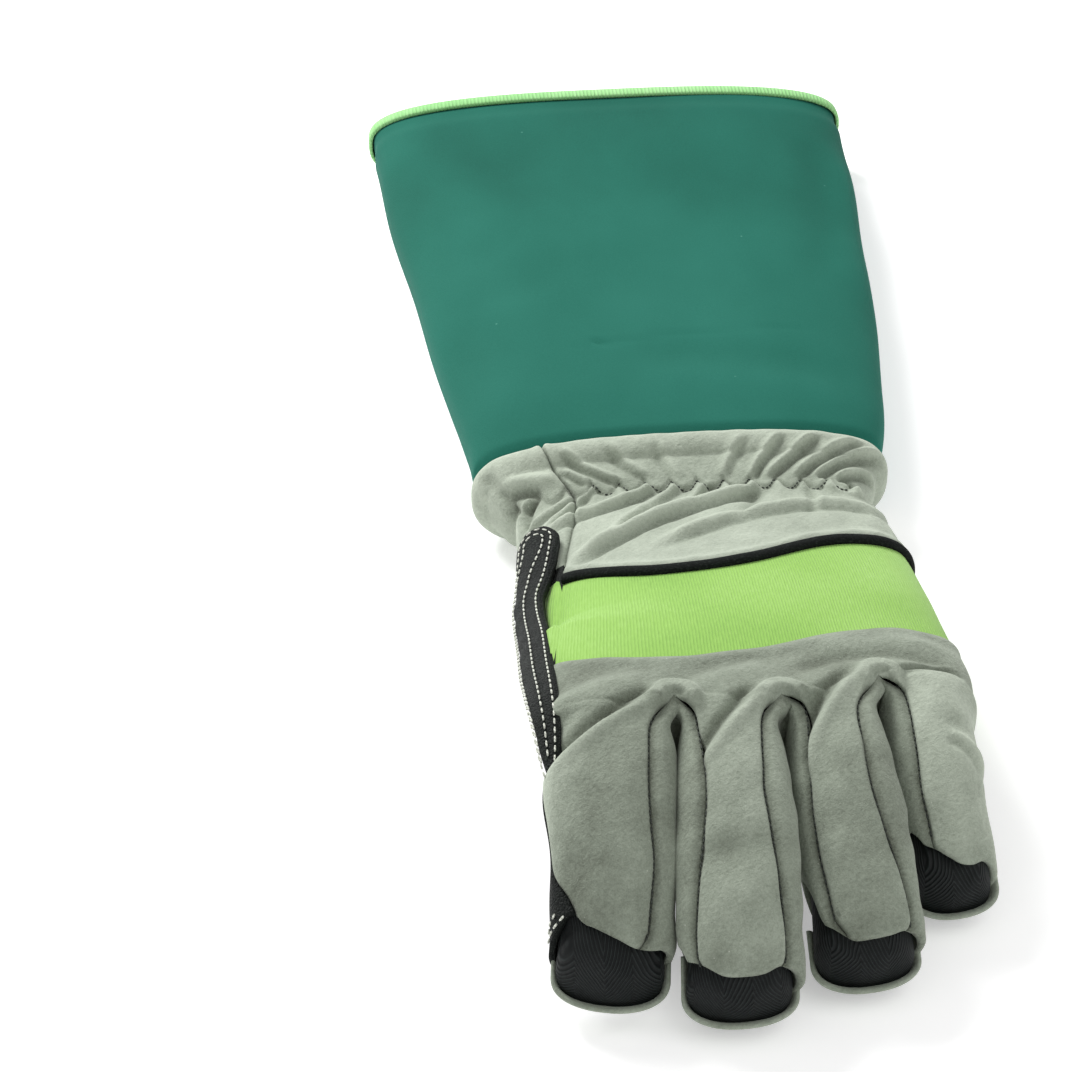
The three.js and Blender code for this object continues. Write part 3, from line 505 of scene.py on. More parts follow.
def vertex_normals(points, faces):
    """Mean of the normals of the faces round each vertex, by their areas."""
    a, b, c = (points[faces[:, k]] for k in range(3))
    normals = np.cross(b - a, c - a)
    count = len(points)
    summed = [
        sum(np.bincount(faces[:, k], normals[:, axis], count) for k in range(3)) for axis in range(3)
    ]
    return unit(np.stack(summed, -1))


def relaxed(points, edges, slack, rounds):
    """Points drawn towards the mean of their neighbours, round after round, each by its own slack from 0
    to 1."""
    start, end = np.concatenate([edges, edges[:, ::-1]]).T
    count = len(points)
    shares = np.bincount(start, minlength=count)
    for _ in range(rounds):
        summed = [np.bincount(start, points[end, axis], count) for axis in range(3)]
        mean = np.stack(summed, -1) / shares[:, None]
        points = points + slack[:, None] * (mean - points)
    return points


def arc(points, axis):
    """Length along the middle line of a grid, in metres."""
    middle = np.take(points, points.shape[1 - axis] // 2, axis=1 - axis)
    steps = np.linalg.norm(np.diff(middle, axis=0), axis=-1)
    return np.concatenate([[0], np.cumsum(steps)]) / 1000


def cells_cut(a, b, d, e):
    """The faces of four-cornered cells, a and b above d and e, each cut in two."""
    return [np.stack(corners, -1).reshape(-1, 3) for corners in ((a, b, e), (a, e, d))]


# Rounds in which a cloth's slack evens out its creases.
SLACK_ROUNDS = 60


class Cloth:
    """A sheet made of grids of points in millimetres, raised along its own normals and given its wall."""

    def __init__(self):
        """Starts without any grids."""
        self.points, self.uvs, self.heights, self.tones, self.slacks, self.faces = [], [], [], [], [], []
        self.count = 0

    def grid(self, points, side, height=0.0, tone=0.5, slack=0.0):
        """Adds a grid. side is 1 when rows crossed with columns point outwards, or -1; slack evens out its
        creases."""
        rows, cols = points.shape[:2]
        ids = self.count + np.arange(rows * cols).reshape(rows, cols)
        a, b, d, e = ids[:-1, :-1], ids[:-1, 1:], ids[1:, :-1], ids[1:, 1:]
        pairs = [(a, d, e), (a, e, b)] if side > 0 else [(a, e, d), (a, b, e)]
        self.faces += [np.stack(t, -1).reshape(-1, 3) for t in pairs]
        u, v = np.meshgrid(arc(points, 1), arc(points, 0))
        self.points.append(points.reshape(-1, 3))
        self.uvs.append(np.stack([u, v], -1).reshape(-1, 2))
        self.heights.append(np.broadcast_to(height, (rows, cols)).ravel())
        self.tones.append(np.broadcast_to(tone, (rows, cols)).ravel())
        self.slacks.append(np.broadcast_to(slack, (rows, cols)).ravel())
        self.count += rows * cols
        return self

    def finish(self, name, wall, materials, nodes, slot):
        """Joins the grids, raises them, adds the inner wall and the rim, and makes the piece."""
        points, uvs = np.concatenate(self.points), np.concatenate(self.uvs)
        loose = np.concatenate(self.faces)
        _, first, place = np.unique(np.round(points * 1000).astype(np.int64), axis=0, return_index=True,
                                    return_inverse=True)
        place = place.ravel()
        count = len(first)
        share = np.bincount(place, minlength=count)
        height = np.bincount(place, np.concatenate(self.heights), count) / share
        tone = np.bincount(place, np.concatenate(self.tones), count) / share
        slack = np.bincount(place, np.concatenate(self.slacks), count) / share
        skin, faces = points[first], place[loose]
        whole = (faces[:, 0] != faces[:, 1]) & (faces[:, 1] != faces[:, 2]) & (faces[:, 2] != faces[:, 0])
        faces, loose = faces[whole], loose[whole]
        edges = np.concatenate([faces[:, [0, 1]], faces[:, [1, 2]], faces[:, [2, 0]]])
        low, high = edges.min(1).astype(np.int64), edges.max(1)
        _, once, back, uses = np.unique(low * count + high, return_index=True, return_inverse=True,
                                        return_counts=True)
        rim = edges[uses[back.ravel()] == 1]
        start, end = rim[:, 0], rim[:, 1]
        if slack.any():
            slack[start] = 0
            skin = relaxed(skin, edges[once], slack, SLACK_ROUNDS)
        normals = vertex_normals(skin, faces)
        skin = skin + normals * height[:, None]
        skin[:, 2] = np.maximum(skin[:, 2], 0)
        inner = skin - normals * wall
        inner[:, 2] = np.maximum(inner[:, 2], 0)
        rims = np.concatenate([np.stack([end, start, count + start], -1),
                               np.stack([end, count + start, count + end], -1)])
        all_faces = np.concatenate([faces, count + faces[:, [0, 2, 1]], rims])
        uv_of = uvs[first]
        corners = np.concatenate([uvs[loose], uvs[loose[:, [0, 2, 1]]], uv_of[rims % count]])
        kinds = np.repeat([0, 1, 0], [len(faces), len(faces), len(rims)]).astype(np.int32)
        piece = make_piece(name, np.concatenate([skin, inner]), all_faces, materials, nodes,
                           corners.reshape(-1, 2), np.concatenate([tone, tone]))
        if len(materials) > 1:
            piece.data.polygons.foreach_set("material_index", kinds)
        return piece


def make_piece(name, points, faces, materials, nodes, corners=None, tone=None):
    """A smooth-shaded object from points in millimetres of the working frame; it rides on the root body."""
    mesh = bpy.data.meshes.new(name)
    mesh.from_pydata(((points + TO_FRAME) / 1000).tolist(), [], faces.tolist())
    mesh.polygons.foreach_set("use_smooth", np.ones(len(faces), bool))
    if corners is not None:
        mesh.uv_layers.new(name="cloth").data.foreach_set("uv", corners.astype(np.float32).ravel())
    if tone is not None:
        mesh.attributes.new("tone", "FLOAT", "POINT").data.foreach_set("value", tone.astype(np.float32))
    for material in materials:
        mesh.materials.append(material)
    mesh.update()
    piece = bpy.data.objects.new(name, mesh)
    bpy.context.scene.collection.objects.link(piece)
    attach(piece, "root")
    if nodes:
        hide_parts(*nodes)
    return piece


def carried(places, aside, out, outline, closed):
    """Points and faces of an outline, in steps aside and out, carried along a path of frames."""
    outline = np.array(outline, float)
    points = places[:, None] + aside[:, None] * outline[None, :, :1] + out[:, None] * outline[None, :, 1:]
    count, sides = len(places), len(outline)
    i = np.arange(count if closed else count - 1)[:, None]
    k = np.arange(sides)[None, :]
    a, b = i * sides + k, i * sides + (k + 1) % sides
    d, e = (i + 1) % count * sides + k, (i + 1) % count * sides + (k + 1) % sides
    faces = cells_cut(a, b, d, e)
    if not closed:
        fan, end = np.arange(1, sides - 1), (count - 1) * sides
        faces += [np.stack([0 * fan, fan + 1, fan], -1), end + np.stack([0 * fan, fan, fan + 1], -1)]
    return points.reshape(-1, 3), np.concatenate(faces)


def facing_out(points, faces):
    """The same faces, turned round if together they enclose a negative volume."""
    a, b, c = (points[faces[:, k]] for k in range(3))
    if np.sum(a * np.cross(b, c)) < 0:
        faces = faces[:, ::-1]
    return points, faces


def evenly(line, pitch):
    """Rows of a line (its first three columns are places) at even steps of pitch millimetres."""
    steps = np.linalg.norm(np.diff(line[:, :3], axis=0), axis=1)
    along = np.concatenate([[0], np.cumsum(steps)])
    at = np.arange(pitch / 2, along[-1], pitch)
    return np.stack([np.interp(at, along, line[:, k]) for k in range(line.shape[1])], -1)


# Points round a stitch, and rings of them from end to end.
STITCH_SIDES = 6
STITCH_RINGS = 6
# Pitch, length, width and height off the cloth of each kind of stitch, in millimetres.
WHITE_STITCH = (2.3, 1.7, 0.5, 0.1)
ELASTIC_STITCH = (1.25, 0.85, 0.42, 0.1)
SEAM_STITCH = (1.9, 1.5, 0.4, 0.0)


def stitches(line, out, pitch, long, wide, proud):
    """Points and faces of plump stitches along a line: each is a ball stretched along it, and out is the way
    off the cloth at each place of the line."""
    rows = evenly(np.concatenate([line, unit(out)], -1), pitch)
    middle, up = rows[:, :3], rows[:, 3:]
    ahead = unit(np.gradient(middle, axis=0))
    up = unit(up - ahead * np.sum(up * ahead, -1, keepdims=True))
    side = np.cross(ahead, up)
    ring = np.linspace(0, 2 * math.pi, STITCH_SIDES, endpoint=False)
    turns = np.linspace(0, math.pi, STITCH_RINGS)
    t, a = np.meshgrid(turns, ring, indexing="ij")
    ball = np.stack([-np.cos(t) * long / 2, np.sin(t) ** 0.6 * np.cos(a) * wide / 2,
                     np.sin(t) ** 0.6 * np.sin(a) * wide / 2 + proud], -1).reshape(-1, 3)
    axes = np.stack([ahead, side, up], 1)
    points = middle[:, None] + np.einsum("pk,nkj->npj", ball, axes)
    i, k = np.arange(STITCH_RINGS - 1)[:, None] * STITCH_SIDES, np.arange(STITCH_SIDES)[None, :]
    after = (k + 1) % STITCH_SIDES
    one = np.concatenate(cells_cut(i + k, i + after, i + STITCH_SIDES + k, i + STITCH_SIDES + after))
    faces = one[None] + (np.arange(len(middle)) * len(ball))[:, None, None]
    return points.reshape(-1, 3), faces.reshape(-1, 3)


def gather_stitches(name, rows, material):
    """One piece from several rows of stitches."""
    points, faces, count = [], [], 0
    for p, f in rows:
        points.append(p)
        faces.append(f + count)
        count += len(p)
    return make_piece(name, np.concatenate(points), np.concatenate(faces), [material], ())


def node_maker(name):
    """A new material with its shader, and a function that adds a node with its settings."""
    material = bpy.data.materials.new(name)
    material.use_nodes = True
    tree = material.node_tree
    shader = tree.nodes["Principled BSDF"]

    def add(kind, settings=None, **inputs):
        """A node of that kind; inputs are values or sockets, by name or as i0, i1 by number."""
        node = tree.nodes.new(kind)
        for key, value in (settings or {}).items():
            setattr(node, key, value)
        for key, value in inputs.items():
            socket = node.inputs[int(key[1:])] if key[0] == "i" and key[1:].isdigit() else node.inputs[key]
            if isinstance(value, bpy.types.NodeSocket):
                tree.links.new(value, socket)
            else:
                socket.default_value = value
        return node

    return material, shader, add


def math_of(add, operation, a, b=0.0):
    """A Math node's output."""
    return add("ShaderNodeMath", {"operation": operation}, i0=a, i1=b).outputs[0]


def blended(add, share, a, b, way="MIX"):
    """A Mix node's colour output; a and b are colours or sockets."""
    node = add("ShaderNodeMix", {"data_type": "RGBA", "blend_type": way})
    tree = node.id_data
    for socket, value in ((node.inputs[0], share), (node.inputs[6], a), (node.inputs[7], b)):
        if isinstance(value, bpy.types.NodeSocket):
            tree.links.new(value, socket)
        else:
            socket.default_value = value if socket is node.inputs[0] else (*value, 1.0)
    return node.outputs[2]


def object_place(add):
    """The place on a piece, in its own metres."""
    return add("ShaderNodeTexCoord").outputs["Object"]


def cloth_uv(add):
    """The place on a cloth, in metres along and across it."""
    return add("ShaderNodeUVMap", {"uv_map": "cloth"}).outputs[0]


def own_tone(add):
    """The tone that a piece's points carry, with the painted light and shade of its folds: a half is its middle
    colour.
    """
    return add("ShaderNodeAttribute", {"attribute_name": "tone"}).outputs["Fac"]


def ramp(add, value, *stops):
    """A colour ramp's output through stops of (place, grey)."""
    node = add("ShaderNodeValToRGB", Fac=value)
    elements = node.color_ramp.elements
    while len(elements) < len(stops):
        elements.new(0.5)
    for element, (place, grey) in zip(elements, stops):
        element.position = place
        element.color = (grey, grey, grey, 1)
    return node.outputs[0]


def noise(add, vector, scale, detail=2.0, rough=0.5):
    """A noise texture's factor; scale is in repeats per metre."""
    return add("ShaderNodeTexNoise", Vector=vector, Scale=scale, Detail=detail, Roughness=rough).outputs[0]


def stretched(add, vector, x, y, z, turn=0.0):
    """Coordinates scaled by x, y, z after a turn about z in degrees."""
    turned = add("ShaderNodeVectorRotate", {"rotation_type": "Z_AXIS"}, Vector=vector,
                 Angle=math.radians(turn))
    return add("ShaderNodeMapping", Vector=turned.outputs[0], Scale=(x, y, z)).outputs[0]


def shifted(add, shade, part, amount):
    """A shade raised by amount times a part's height above a half."""
    away = math_of(add, "SUBTRACT", part, 0.5)
    return math_of(add, "ADD", shade, math_of(add, "MULTIPLY", away, amount))


def three_tones(add, shade, dark, middle, pale, first=0.0, last=1.0):
    """The dark colour at shade first, the middle one at a half and the pale one at last."""
    low = blended(add, ramp(add, shade, (first, 0.0), (0.5, 1.0)), dark, middle)
    return blended(add, ramp(add, shade, (0.5, 0.0), (last, 1.0)), low, pale)


SOCKETS = {"rough": "Roughness", "specular": "Specular IOR Level", "sheen": "Sheen Weight",
           "sheen_rough": "Sheen Roughness", "sheen_tint": "Sheen Tint"}


def coloured(shader, colour, **levels):
    """Gives the shader its colour, and levels the same all over for its other sockets."""
    shader.id_data.links.new(colour, shader.inputs["Base Color"])
    for name, level in levels.items():
        shader.inputs[SOCKETS[name]].default_value = level


def bump(add, shader, heights):
    """Chained bumps of (height, depth in metres) into the shader's normal."""
    normal = None
    for height, depth in heights:
        node = add("ShaderNodeBump", Height=height, Distance=depth, Strength=1.0)
        if normal is not None:
            node.id_data.links.new(normal, node.inputs["Normal"])
        normal = node.outputs[0]
    shader.id_data.links.new(normal, shader.inputs["Normal"])


def suede_finish(name, dark, middle, pale):
    """Napped suede: mottled in broad patches, streaked and speckled finely, with rare pale flecks. Its tone
    paints light and shade: paler on ridges, darker in troughs, and a near-white painted highlight where it runs
    highest."""
    material, shader, add = node_maker(name)
    place = object_place(add)
    tone = own_tone(add)
    broad = noise(add, place, 45, 3.0, 0.6)
    brushed = noise(add, stretched(add, place, 1.0, 0.45, 1.0, 35), 190, 3.0, 0.6)
    streak = noise(add, stretched(add, place, 1.0, 1.4, 1.2, -25), 900, 3.0, 0.65)
    fine = noise(add, place, 3000, 2.0, 0.6)
    shade = tone
    for part, amount in ((broad, 0.4), (brushed, 0.4), (streak, 0.5), (fine, 0.45)):
        shade = shifted(add, shade, part, amount)
    colour = three_tones(add, shade, dark, middle, pale)
    fleck = add("ShaderNodeTexVoronoi", Vector=place, Scale=620.0).outputs["Distance"]
    flecks = ramp(add, fleck, (0.0, 1.0), (0.13, 0.0))
    rare = ramp(add, noise(add, place, 300, 1.0), (0.62, 0.0), (0.7, 1.0))
    colour = blended(add, math_of(add, "MULTIPLY", flecks, rare), colour, (0.62, 0.66, 0.56))
    # Painted highlight: where the shade runs past 1.05 the colour turns to a near-white pale green, as along
    # the wrist band's top edge.
    colour = blended(add, ramp(add, shade, (1.05, 0.0), (1.4, 1.0)), colour, (0.78, 0.84, 0.76))
    coloured(shader, colour, rough=0.95, specular=0.15, sheen=0.3, sheen_rough=0.55,
             sheen_tint=(0.8, 0.85, 0.75, 1))
    bump(add, shader, [(broad, 0.0008), (brushed, 0.0005), (streak, 0.00025), (fine, 0.00012)])
    return material


def neoprene_finish():
    """Foam faced with smooth jersey: a faint fine knit, broad unevenness and a few specks of lint."""
    material, shader, add = node_maker("neoprene_jersey")
    place = object_place(add)
    broad = noise(add, stretched(add, place, 1.0, 0.6, 1.0), 22, 3.0, 0.55)
    fine = noise(add, stretched(add, place, 1.6, 0.8, 1.0), 1900, 2.0, 0.6)
    shade = shifted(add, shifted(add, own_tone(add), broad, 0.55), fine, 0.28)
    colour = three_tones(add, shade, (0.007, 0.075, 0.052), (0.014, 0.125, 0.09), (0.026, 0.175, 0.132),
                         0.1, 0.95)
    spots = ramp(add, add("ShaderNodeTexVoronoi", Vector=place, Scale=210.0).outputs["Distance"],
                 (0.0, 1.0), (0.085, 0.0))
    rare = ramp(add, noise(add, place, 95, 1.0), (0.68, 0.0), (0.72, 1.0))
    colour = blended(add, math_of(add, "MULTIPLY", spots, rare), colour, (0.12, 0.34, 0.28))
    coloured(shader, colour, rough=0.85, specular=0.1, sheen=0.03, sheen_tint=(0.4, 0.8, 0.7, 1))
    bump(add, shader, [(broad, 0.001), (fine, 0.00008)])
    return material


def knit_finish(name, dark, middle, pale, pitch, depth):
    """Ribbed knit: ribs run along the cloth's own length, each broken into small loops and flecked."""
    material, shader, add = node_maker(name)
    uv = cloth_uv(add)
    place = object_place(add)
    tone = own_tone(add)
    split = add("ShaderNodeSeparateXYZ", Vector=uv)
    wobble = math_of(add, "MULTIPLY", noise(add, place, 160, 2.0), 2.2)
    across = math_of(add, "ADD", math_of(add, "MULTIPLY", split.outputs[0], 2 * math.pi / pitch), wobble)
    rib = math_of(add, "SINE", across)
    loops = noise(add, stretched(add, uv, 1.0, 0.16, 1.0), 1.6 / pitch, 2.0, 0.7)
    patch = noise(add, place, 26, 2.0)
    shade = math_of(add, "ADD", tone, math_of(add, "MULTIPLY", rib, 0.055))
    shade = shifted(add, shifted(add, shade, loops, 0.55), patch, 0.5)
    coloured(shader, three_tones(add, shade, dark, middle, pale), rough=0.85, specular=0.2, sheen=0.15)
    bump(add, shader, [(rib, depth), (loops, 1.5 * depth)])
    return material


def leather_finish(name, dark, pale, grain, rough):
    """Black leather: pebbled grain with pale flecks where the nap is scuffed."""
    material, shader, add = node_maker(name)
    place = object_place(add)
    cells = add("ShaderNodeTexVoronoi", {"feature": "DISTANCE_TO_EDGE"}, Vector=place, Scale=grain).outputs[0]
    pebble = ramp(add, cells, (0.0, 0.0), (0.28, 1.0))
    fuzz = noise(add, place, grain * 1.3, 3.0, 0.7)
    worn = noise(add, place, 45, 2.0)
    share = math_of(add, "MULTIPLY", ramp(add, fuzz, (0.5, 0.0), (0.72, 1.0)),
                    ramp(add, worn, (0.3, 0.35), (0.7, 1.0)))
    coloured(shader, blended(add, share, dark, pale), specular=0.22)
    shine = math_of(add, "ADD", math_of(add, "MULTIPLY", fuzz, 0.2), rough - 0.1)
    shader.id_data.links.new(shine, shader.inputs["Roughness"])
    bump(add, shader, [(pebble, 0.0002), (fuzz, 0.0002), (worn, 0.0008)])
    return material


# Metres from one rib of the fingertips to the next, and from one turn of their chevrons to the next.
RIB_PITCH = 0.00085
CHEVRON = 0.006


def ribbed_finish():
    """Black grip fabric of fine ribs in chevrons: a sine of the height plus a zigzag of x."""
    material, shader, add = node_maker("ribbed_grip")
    uv = cloth_uv(add)
    place = object_place(add)
    split = add("ShaderNodeSeparateXYZ", Vector=place)
    turn = math_of(add, "PINGPONG", split.outputs[0], CHEVRON)
    high = math_of(add, "ADD", split.outputs[2], math_of(add, "MULTIPLY", split.outputs[1], -0.6))
    phase = math_of(add, "MULTIPLY", math_of(add, "ADD", high, turn), 2 * math.pi / RIB_PITCH)
    rib = math_of(add, "SINE", phase)
    fuzz = noise(add, place, 900, 2.0)
    share = math_of(add, "MULTIPLY", ramp(add, rib, (0.35, 0.0), (1.0, 1.0)), fuzz)
    colour = blended(add, share, (0.003, 0.0045, 0.0045), (0.026, 0.034, 0.033))
    coloured(shader, colour, rough=0.6, specular=0.25)
    bump(add, shader, [(rib, 0.0001), (noise(add, uv, 300), 0.0003)])
    return material


def thread_finish(name, dark, pale):
    """Twisted sewing thread: slanting plies a third of a millimetre apart, a little soiled."""
    material, shader, add = node_maker(name)
    place = object_place(add)
    ply = add("ShaderNodeTexWave", {"bands_direction": "DIAGONAL"}, Vector=place, Scale=500.0).outputs[1]
    share = math_of(add, "MULTIPLY", ply, ramp(add, noise(add, place, 240, 2.0), (0.25, 0.35), (0.6, 1.0)))
    coloured(shader, blended(add, share, dark, pale), rough=0.7)
    bump(add, shader, [(ply, 0.00008)])
    return material


def cord_finish():
    """Black woven cord: short slanting fibres, fuzzy at the edge."""
    material, shader, add = node_maker("piping_cord")
    place = object_place(add)
    fibres = noise(add, stretched(add, place, 1.0, 2.5, 1.0), 1500, 3.0, 0.7)
    share = ramp(add, fibres, (0.5, 0.0), (0.8, 1.0))
    coloured(shader, blended(add, share, (0.003, 0.0045, 0.004), (0.03, 0.038, 0.033)), rough=0.9, specular=0.2)
    bump(add, shader, [(fibres, 0.00025)])
    return material


suede = suede_finish("grey_suede", (0.1, 0.112, 0.084), (0.265, 0.3, 0.24), (0.46, 0.51, 0.42))
neoprene = neoprene_finish()
lining = knit_finish("cuff_lining", (0.004, 0.006, 0.006), (0.012, 0.016, 0.015), (0.03, 0.04, 0.036),
                     0.0009, 0.0001)
knit = knit_finish("lime_knit", (0.165, 0.36, 0.055), (0.28, 0.515, 0.1), (0.41, 0.66, 0.2), 0.00075, 0.00005)
binding = knit_finish("edge_tape", (0.15, 0.4, 0.12), (0.27, 0.58, 0.22), (0.46, 0.75, 0.38), 0.0011, 0.00008)
leather = leather_finish("black_leather", (0.003, 0.005, 0.004), (0.028, 0.037, 0.029), 1100.0, 0.72)
ribbed = ribbed_finish()
cord = cord_finish()
white_thread = thread_finish("white_thread", (0.45, 0.47, 0.4), (0.82, 0.84, 0.75))
dark_thread = thread_finish("dark_thread", (0.012, 0.016, 0.012), (0.05, 0.06, 0.048))

FOLD_NAMES = "x0 y0 x1 y1 bow wide tall trough"
# Folds that fan out from the elastic to the band's far edge, then those that run down from it. Each has its
# trough on the left of its way from x0, y0 to x1, y1.
GATHERS = columns(FOLD_NAMES, [
    (-17.0, 2.0, -32.0, 14.5, 0.8, 1.1, 0.8, 0.9),
    (-26.0, 3.0, -32.0, 8.5, 0.0, 1.0, 0.6, 0.7),
    (-10.5, 3.0, -20.0, 14.5, 0.5, 1.3, 0.7, 0.8),
    (-3.0, 2.0, -6.5, 14.0, 0.5, 1.4, 0.5, 0.5),
    (14.0, 15.0, 6.8, 1.5, -0.8, 1.3, 0.7, 0.6),
    (24.0, 15.5, 13.8, 1.0, -1.0, 1.1, 1.0, 1.0),
    (33.0, 16.0, 17.8, 1.4, -0.4, 1.15, 1.2, 1.2),
    (44.0, 16.0, 25.1, 2.0, -1.2, 1.15, 1.2, 1.2),
    (49.5, 14.5, 30.0, 1.8, -1.6, 1.15, 1.1, 1.3),
    (48.0, 7.0, 35.8, 2.2, -1.4, 1.0, 1.1, 1.2),
    (-24.5, 2.0, -39.5, -13.5, 0.6, 1.0, 0.9, 0.8),
    (-29.5, -1.5, -44.0, -10.5, -0.6, 1.1, 0.8, 0.8),
    (-9.0, 0.0, -40.0, -15.5, 1.4, 1.5, 1.4, 1.2),
    (-2.5, 0.5, -26.0, -28.0, -0.8, 1.3, 0.8, 0.8),
    (4.5, 0.5, -4.0, -12.0, -0.4, 1.1, 0.7, 0.7),
    (17.5, -2.0, -36.5, -38.5, -2.2, 1.9, 1.9, 1.5),
    (14.6, -4.0, 6.5, -24.0, 1.4, 1.8, -0.9, 0.0),
    (27.4, -2.0, 25.6, -19.0, 1.4, 1.4, -0.7, -0.3),
    (30.2, 0.5, 43.5, -2.4, -3.4, 1.1, 0.7, -0.9),
    (36.0, 1.5, 48.0, -7.0, -0.5, 1.2, 0.7, 0.7),
    (49.0, -12.0, -16.0, -36.5, -6.0, 2.0, 1.3, 0.9),
    (-50.5, 10.5, -33.5, 5.5, 0.0, 1.7, 1.3, -0.2),
    (-46.0, 5.6, -38.5, 2.6, 0.0, 1.3, -1.6, 0.0),
    (-40.6, 3.0, -44.0, -9.5, -1.6, 1.2, 1.1, 1.0),
    (-52.5, 13.0, -47.5, -2.0, 0.8, 1.5, 1.0, 1.0),
    (-46.5, -6.0, -46.0, -24.0, 0.6, 1.4, 0.8, 1.0),
])
# Folds of the hand's back: the three petals that reach up to the crotches, soft swells, and creases beside
# the little finger.
KNUCKLES = columns(FOLD_NAMES, [
    (-48.0, -127.5, -22.5, -110.0, 0.5, 1.7, 1.2, 1.9),
    (-17.0, -130.0, 0.6, -108.0, 0.4, 1.7, 1.2, 2.0),
    (5.0, -131.0, 24.0, -99.0, 2.2, 1.8, 1.2, 2.0),
    (-49.0, -113.0, -25.0, -102.5, 0.6, 3.4, 0.8, 0.5),
    (-19.0, -110.0, 2.5, -97.5, 0.6, 3.0, 0.8, 0.6),
    (6.0, -102.0, 47.0, -92.5, 5.5, 2.2, -1.0, 0.0),
    (12.0, -90.0, 47.0, -85.0, 2.5, 3.0, 0.8, 0.0),
    (31.0, -98.0, 47.5, -93.0, 1.0, 0.9, -1.1, -0.3),
    (39.5, -116.0, 47.0, -122.0, 0.6, 1.5, -0.9, -0.6),
])
CREASES = columns(FOLD_NAMES, [
    (-24.5, 61.7, 42.0, 66.9, 1.2, 0.9, -0.3, -0.12),
    (-19.0, 64.9, -12.6, 62.2, -0.8, 1.1, -0.7, -0.3),
    (-46.0, 28.0, -30.0, 96.0, 4.0, 9.0, 0.5, 0.3),
    (58.0, 92.0, 68.0, 176.0, -3.0, 7.0, 0.6, 0.8),
    (-10.0, 44.0, 46.0, 33.0, 3.0, 8.0, 0.5, 0.4),
    (-66.0, 190.0, -40.0, 120.0, 4.0, 9.0, 0.6, 0.4),
])
# Soft dents (below 0) and swellings of single fingers, by the angle round them and the reach.
DENTS = columns("finger theta reach wide_theta wide_reach tall", [
    (0, 175, 0.33, 45, 0.22, 2.4),
    (0, 112, 0.45, 24, 0.16, -0.5),
    (0, 76, 0.72, 20, 0.2, 0.4),
    (0, 122, 0.8, 18, 0.09, -0.7),
    (1, 98, 0.68, 30, 0.06, -1.1),
    (1, 82, 0.88, 30, 0.12, 0.4),
    (1, 100, 0.42, 26, 0.13, 0.4),
    (2, 84, 0.38, 26, 0.15, 0.4),
    (2, 76, 0.72, 20, 0.09, -0.5),
    (3, 62, 0.36, 20, 0.08, -0.9),
    (3, 36, 0.5, 24, 0.12, 0.9),
    (3, 84, 0.8, 26, 0.14, -0.4),
])
# How pale each finger's back is painted: painted light, with some fingers lit brighter than others.
PAINTED_FINGER_LIGHT = (0.42, 0.54, 0.47, 0.76)
# The elastic's stitches hang in scallops this long; their cusps are under the folds.
SCALLOP = 6.6
SCALLOP_START = -25.6
SCALLOP_DROP = 4.2


def on_back(angle):
    """1 on the back of the glove, fading to 0 at its side folds."""
    return np.clip(np.sin(angle) * 3, 0, 1)


def scallop_line(x):
    """y of the elastic's stitching: hanging arcs that meet in narrow cusps."""
    phase = (x - SCALLOP_START) / SCALLOP
    inside = np.abs(phase - np.round(phase)) * 2
    drop = SCALLOP_DROP * (1 - (1 - inside) ** 2)
    return mix(2.6, 0.9, ease((x + 25) / 40)) - drop


def band_relief(angle, y):
    """Height of the wrist band: its puffed edge, the pinch along the scalloped elastic with pleats opening
    below it, on the back the folds that fan out from the stitches, and the side seam."""
    x = sleeve_point(angle, y)[..., 0]
    edge = np.clip((BAND_EDGE - y) / (BAND_EDGE - CUFF_LAP), 0, 1)
    puff = BAND_PUFF * np.sin(math.pi * edge) ** 0.7
    back = on_back(angle)
    away = y - mix(0.0, scallop_line(x), back)
    pinch = -(1.5 - 0.6 * back) * bell(away / mix(3.0, 1.2, back))
    pinch = pinch - 0.7 * bell(y / 6)
    phase = (x - SCALLOP_START) / SCALLOP
    cusp = bell((phase - np.round(phase)) / 0.16)
    pleats = 0.6 * cusp * bell((y + 2.5) / 2.6) * ease((x + 30) / 3) * ease((42 - x) / 4)
    plain_folds = np.cos(math.pi * 10 * 2 * x / WRIST_WIDTH) * bell((np.abs(y) - 5) / 6)
    plain_folds = plain_folds * np.clip((CUFF_LAP - y) / 5, 0, 1)
    fine = folds(GATHERS, x, y) * ease((BAND_EDGE - 1.5 - y) / 4) + pleats
    soft = 0.14 * ripple(x, y, 9.0, 0.4)
    seam = sleeve_point(back_angle(-section("seam", y)), y)[..., 0]
    near = np.abs(x - seam) / mix(1.0, 1.6, ease(-(y + 10) / 10))
    join = (0.9 * bell(near / 0.42) - 0.3 * bell((near - 1.3) / 0.8)) * back
    height = puff + pinch + mix(0.5 * plain_folds, 1.2 * fine + soft, back) - join
    # Painted light and shade in the tone: a pale base, paler on the folds' ridges, painted shade in their
    # troughs, in the pinch and in the side seam's groove, and a painted highlight along the band's top edge.
    tone = (0.76 + 0.2 * fine * back - 0.1 * np.clip(-fine, 0, 1) * back + 0.3 * pinch * back
            - 0.5 * bell(near / 0.3) * back)
    return height, tone + 0.7 * bell(edge / 0.2)


def cuff_out(y):
    """How far the cuff's skin stands off the plain sleeve: in under the band, in under its binding."""
    under = -(SUEDE + 1.2) * ease((BAND_EDGE + 4 - y) / 4)
    return under - 1.2 * ease((y - SLEEVE_LENGTH + 16) / 8)


CUFF_EDGE = SLEEVE_LENGTH - 1.2


def slowed(c):
    """Shares round the sleeve, closer together at its side folds."""
    return c - 0.5 * np.sin(4 * math.pi * c) / (4 * math.pi)


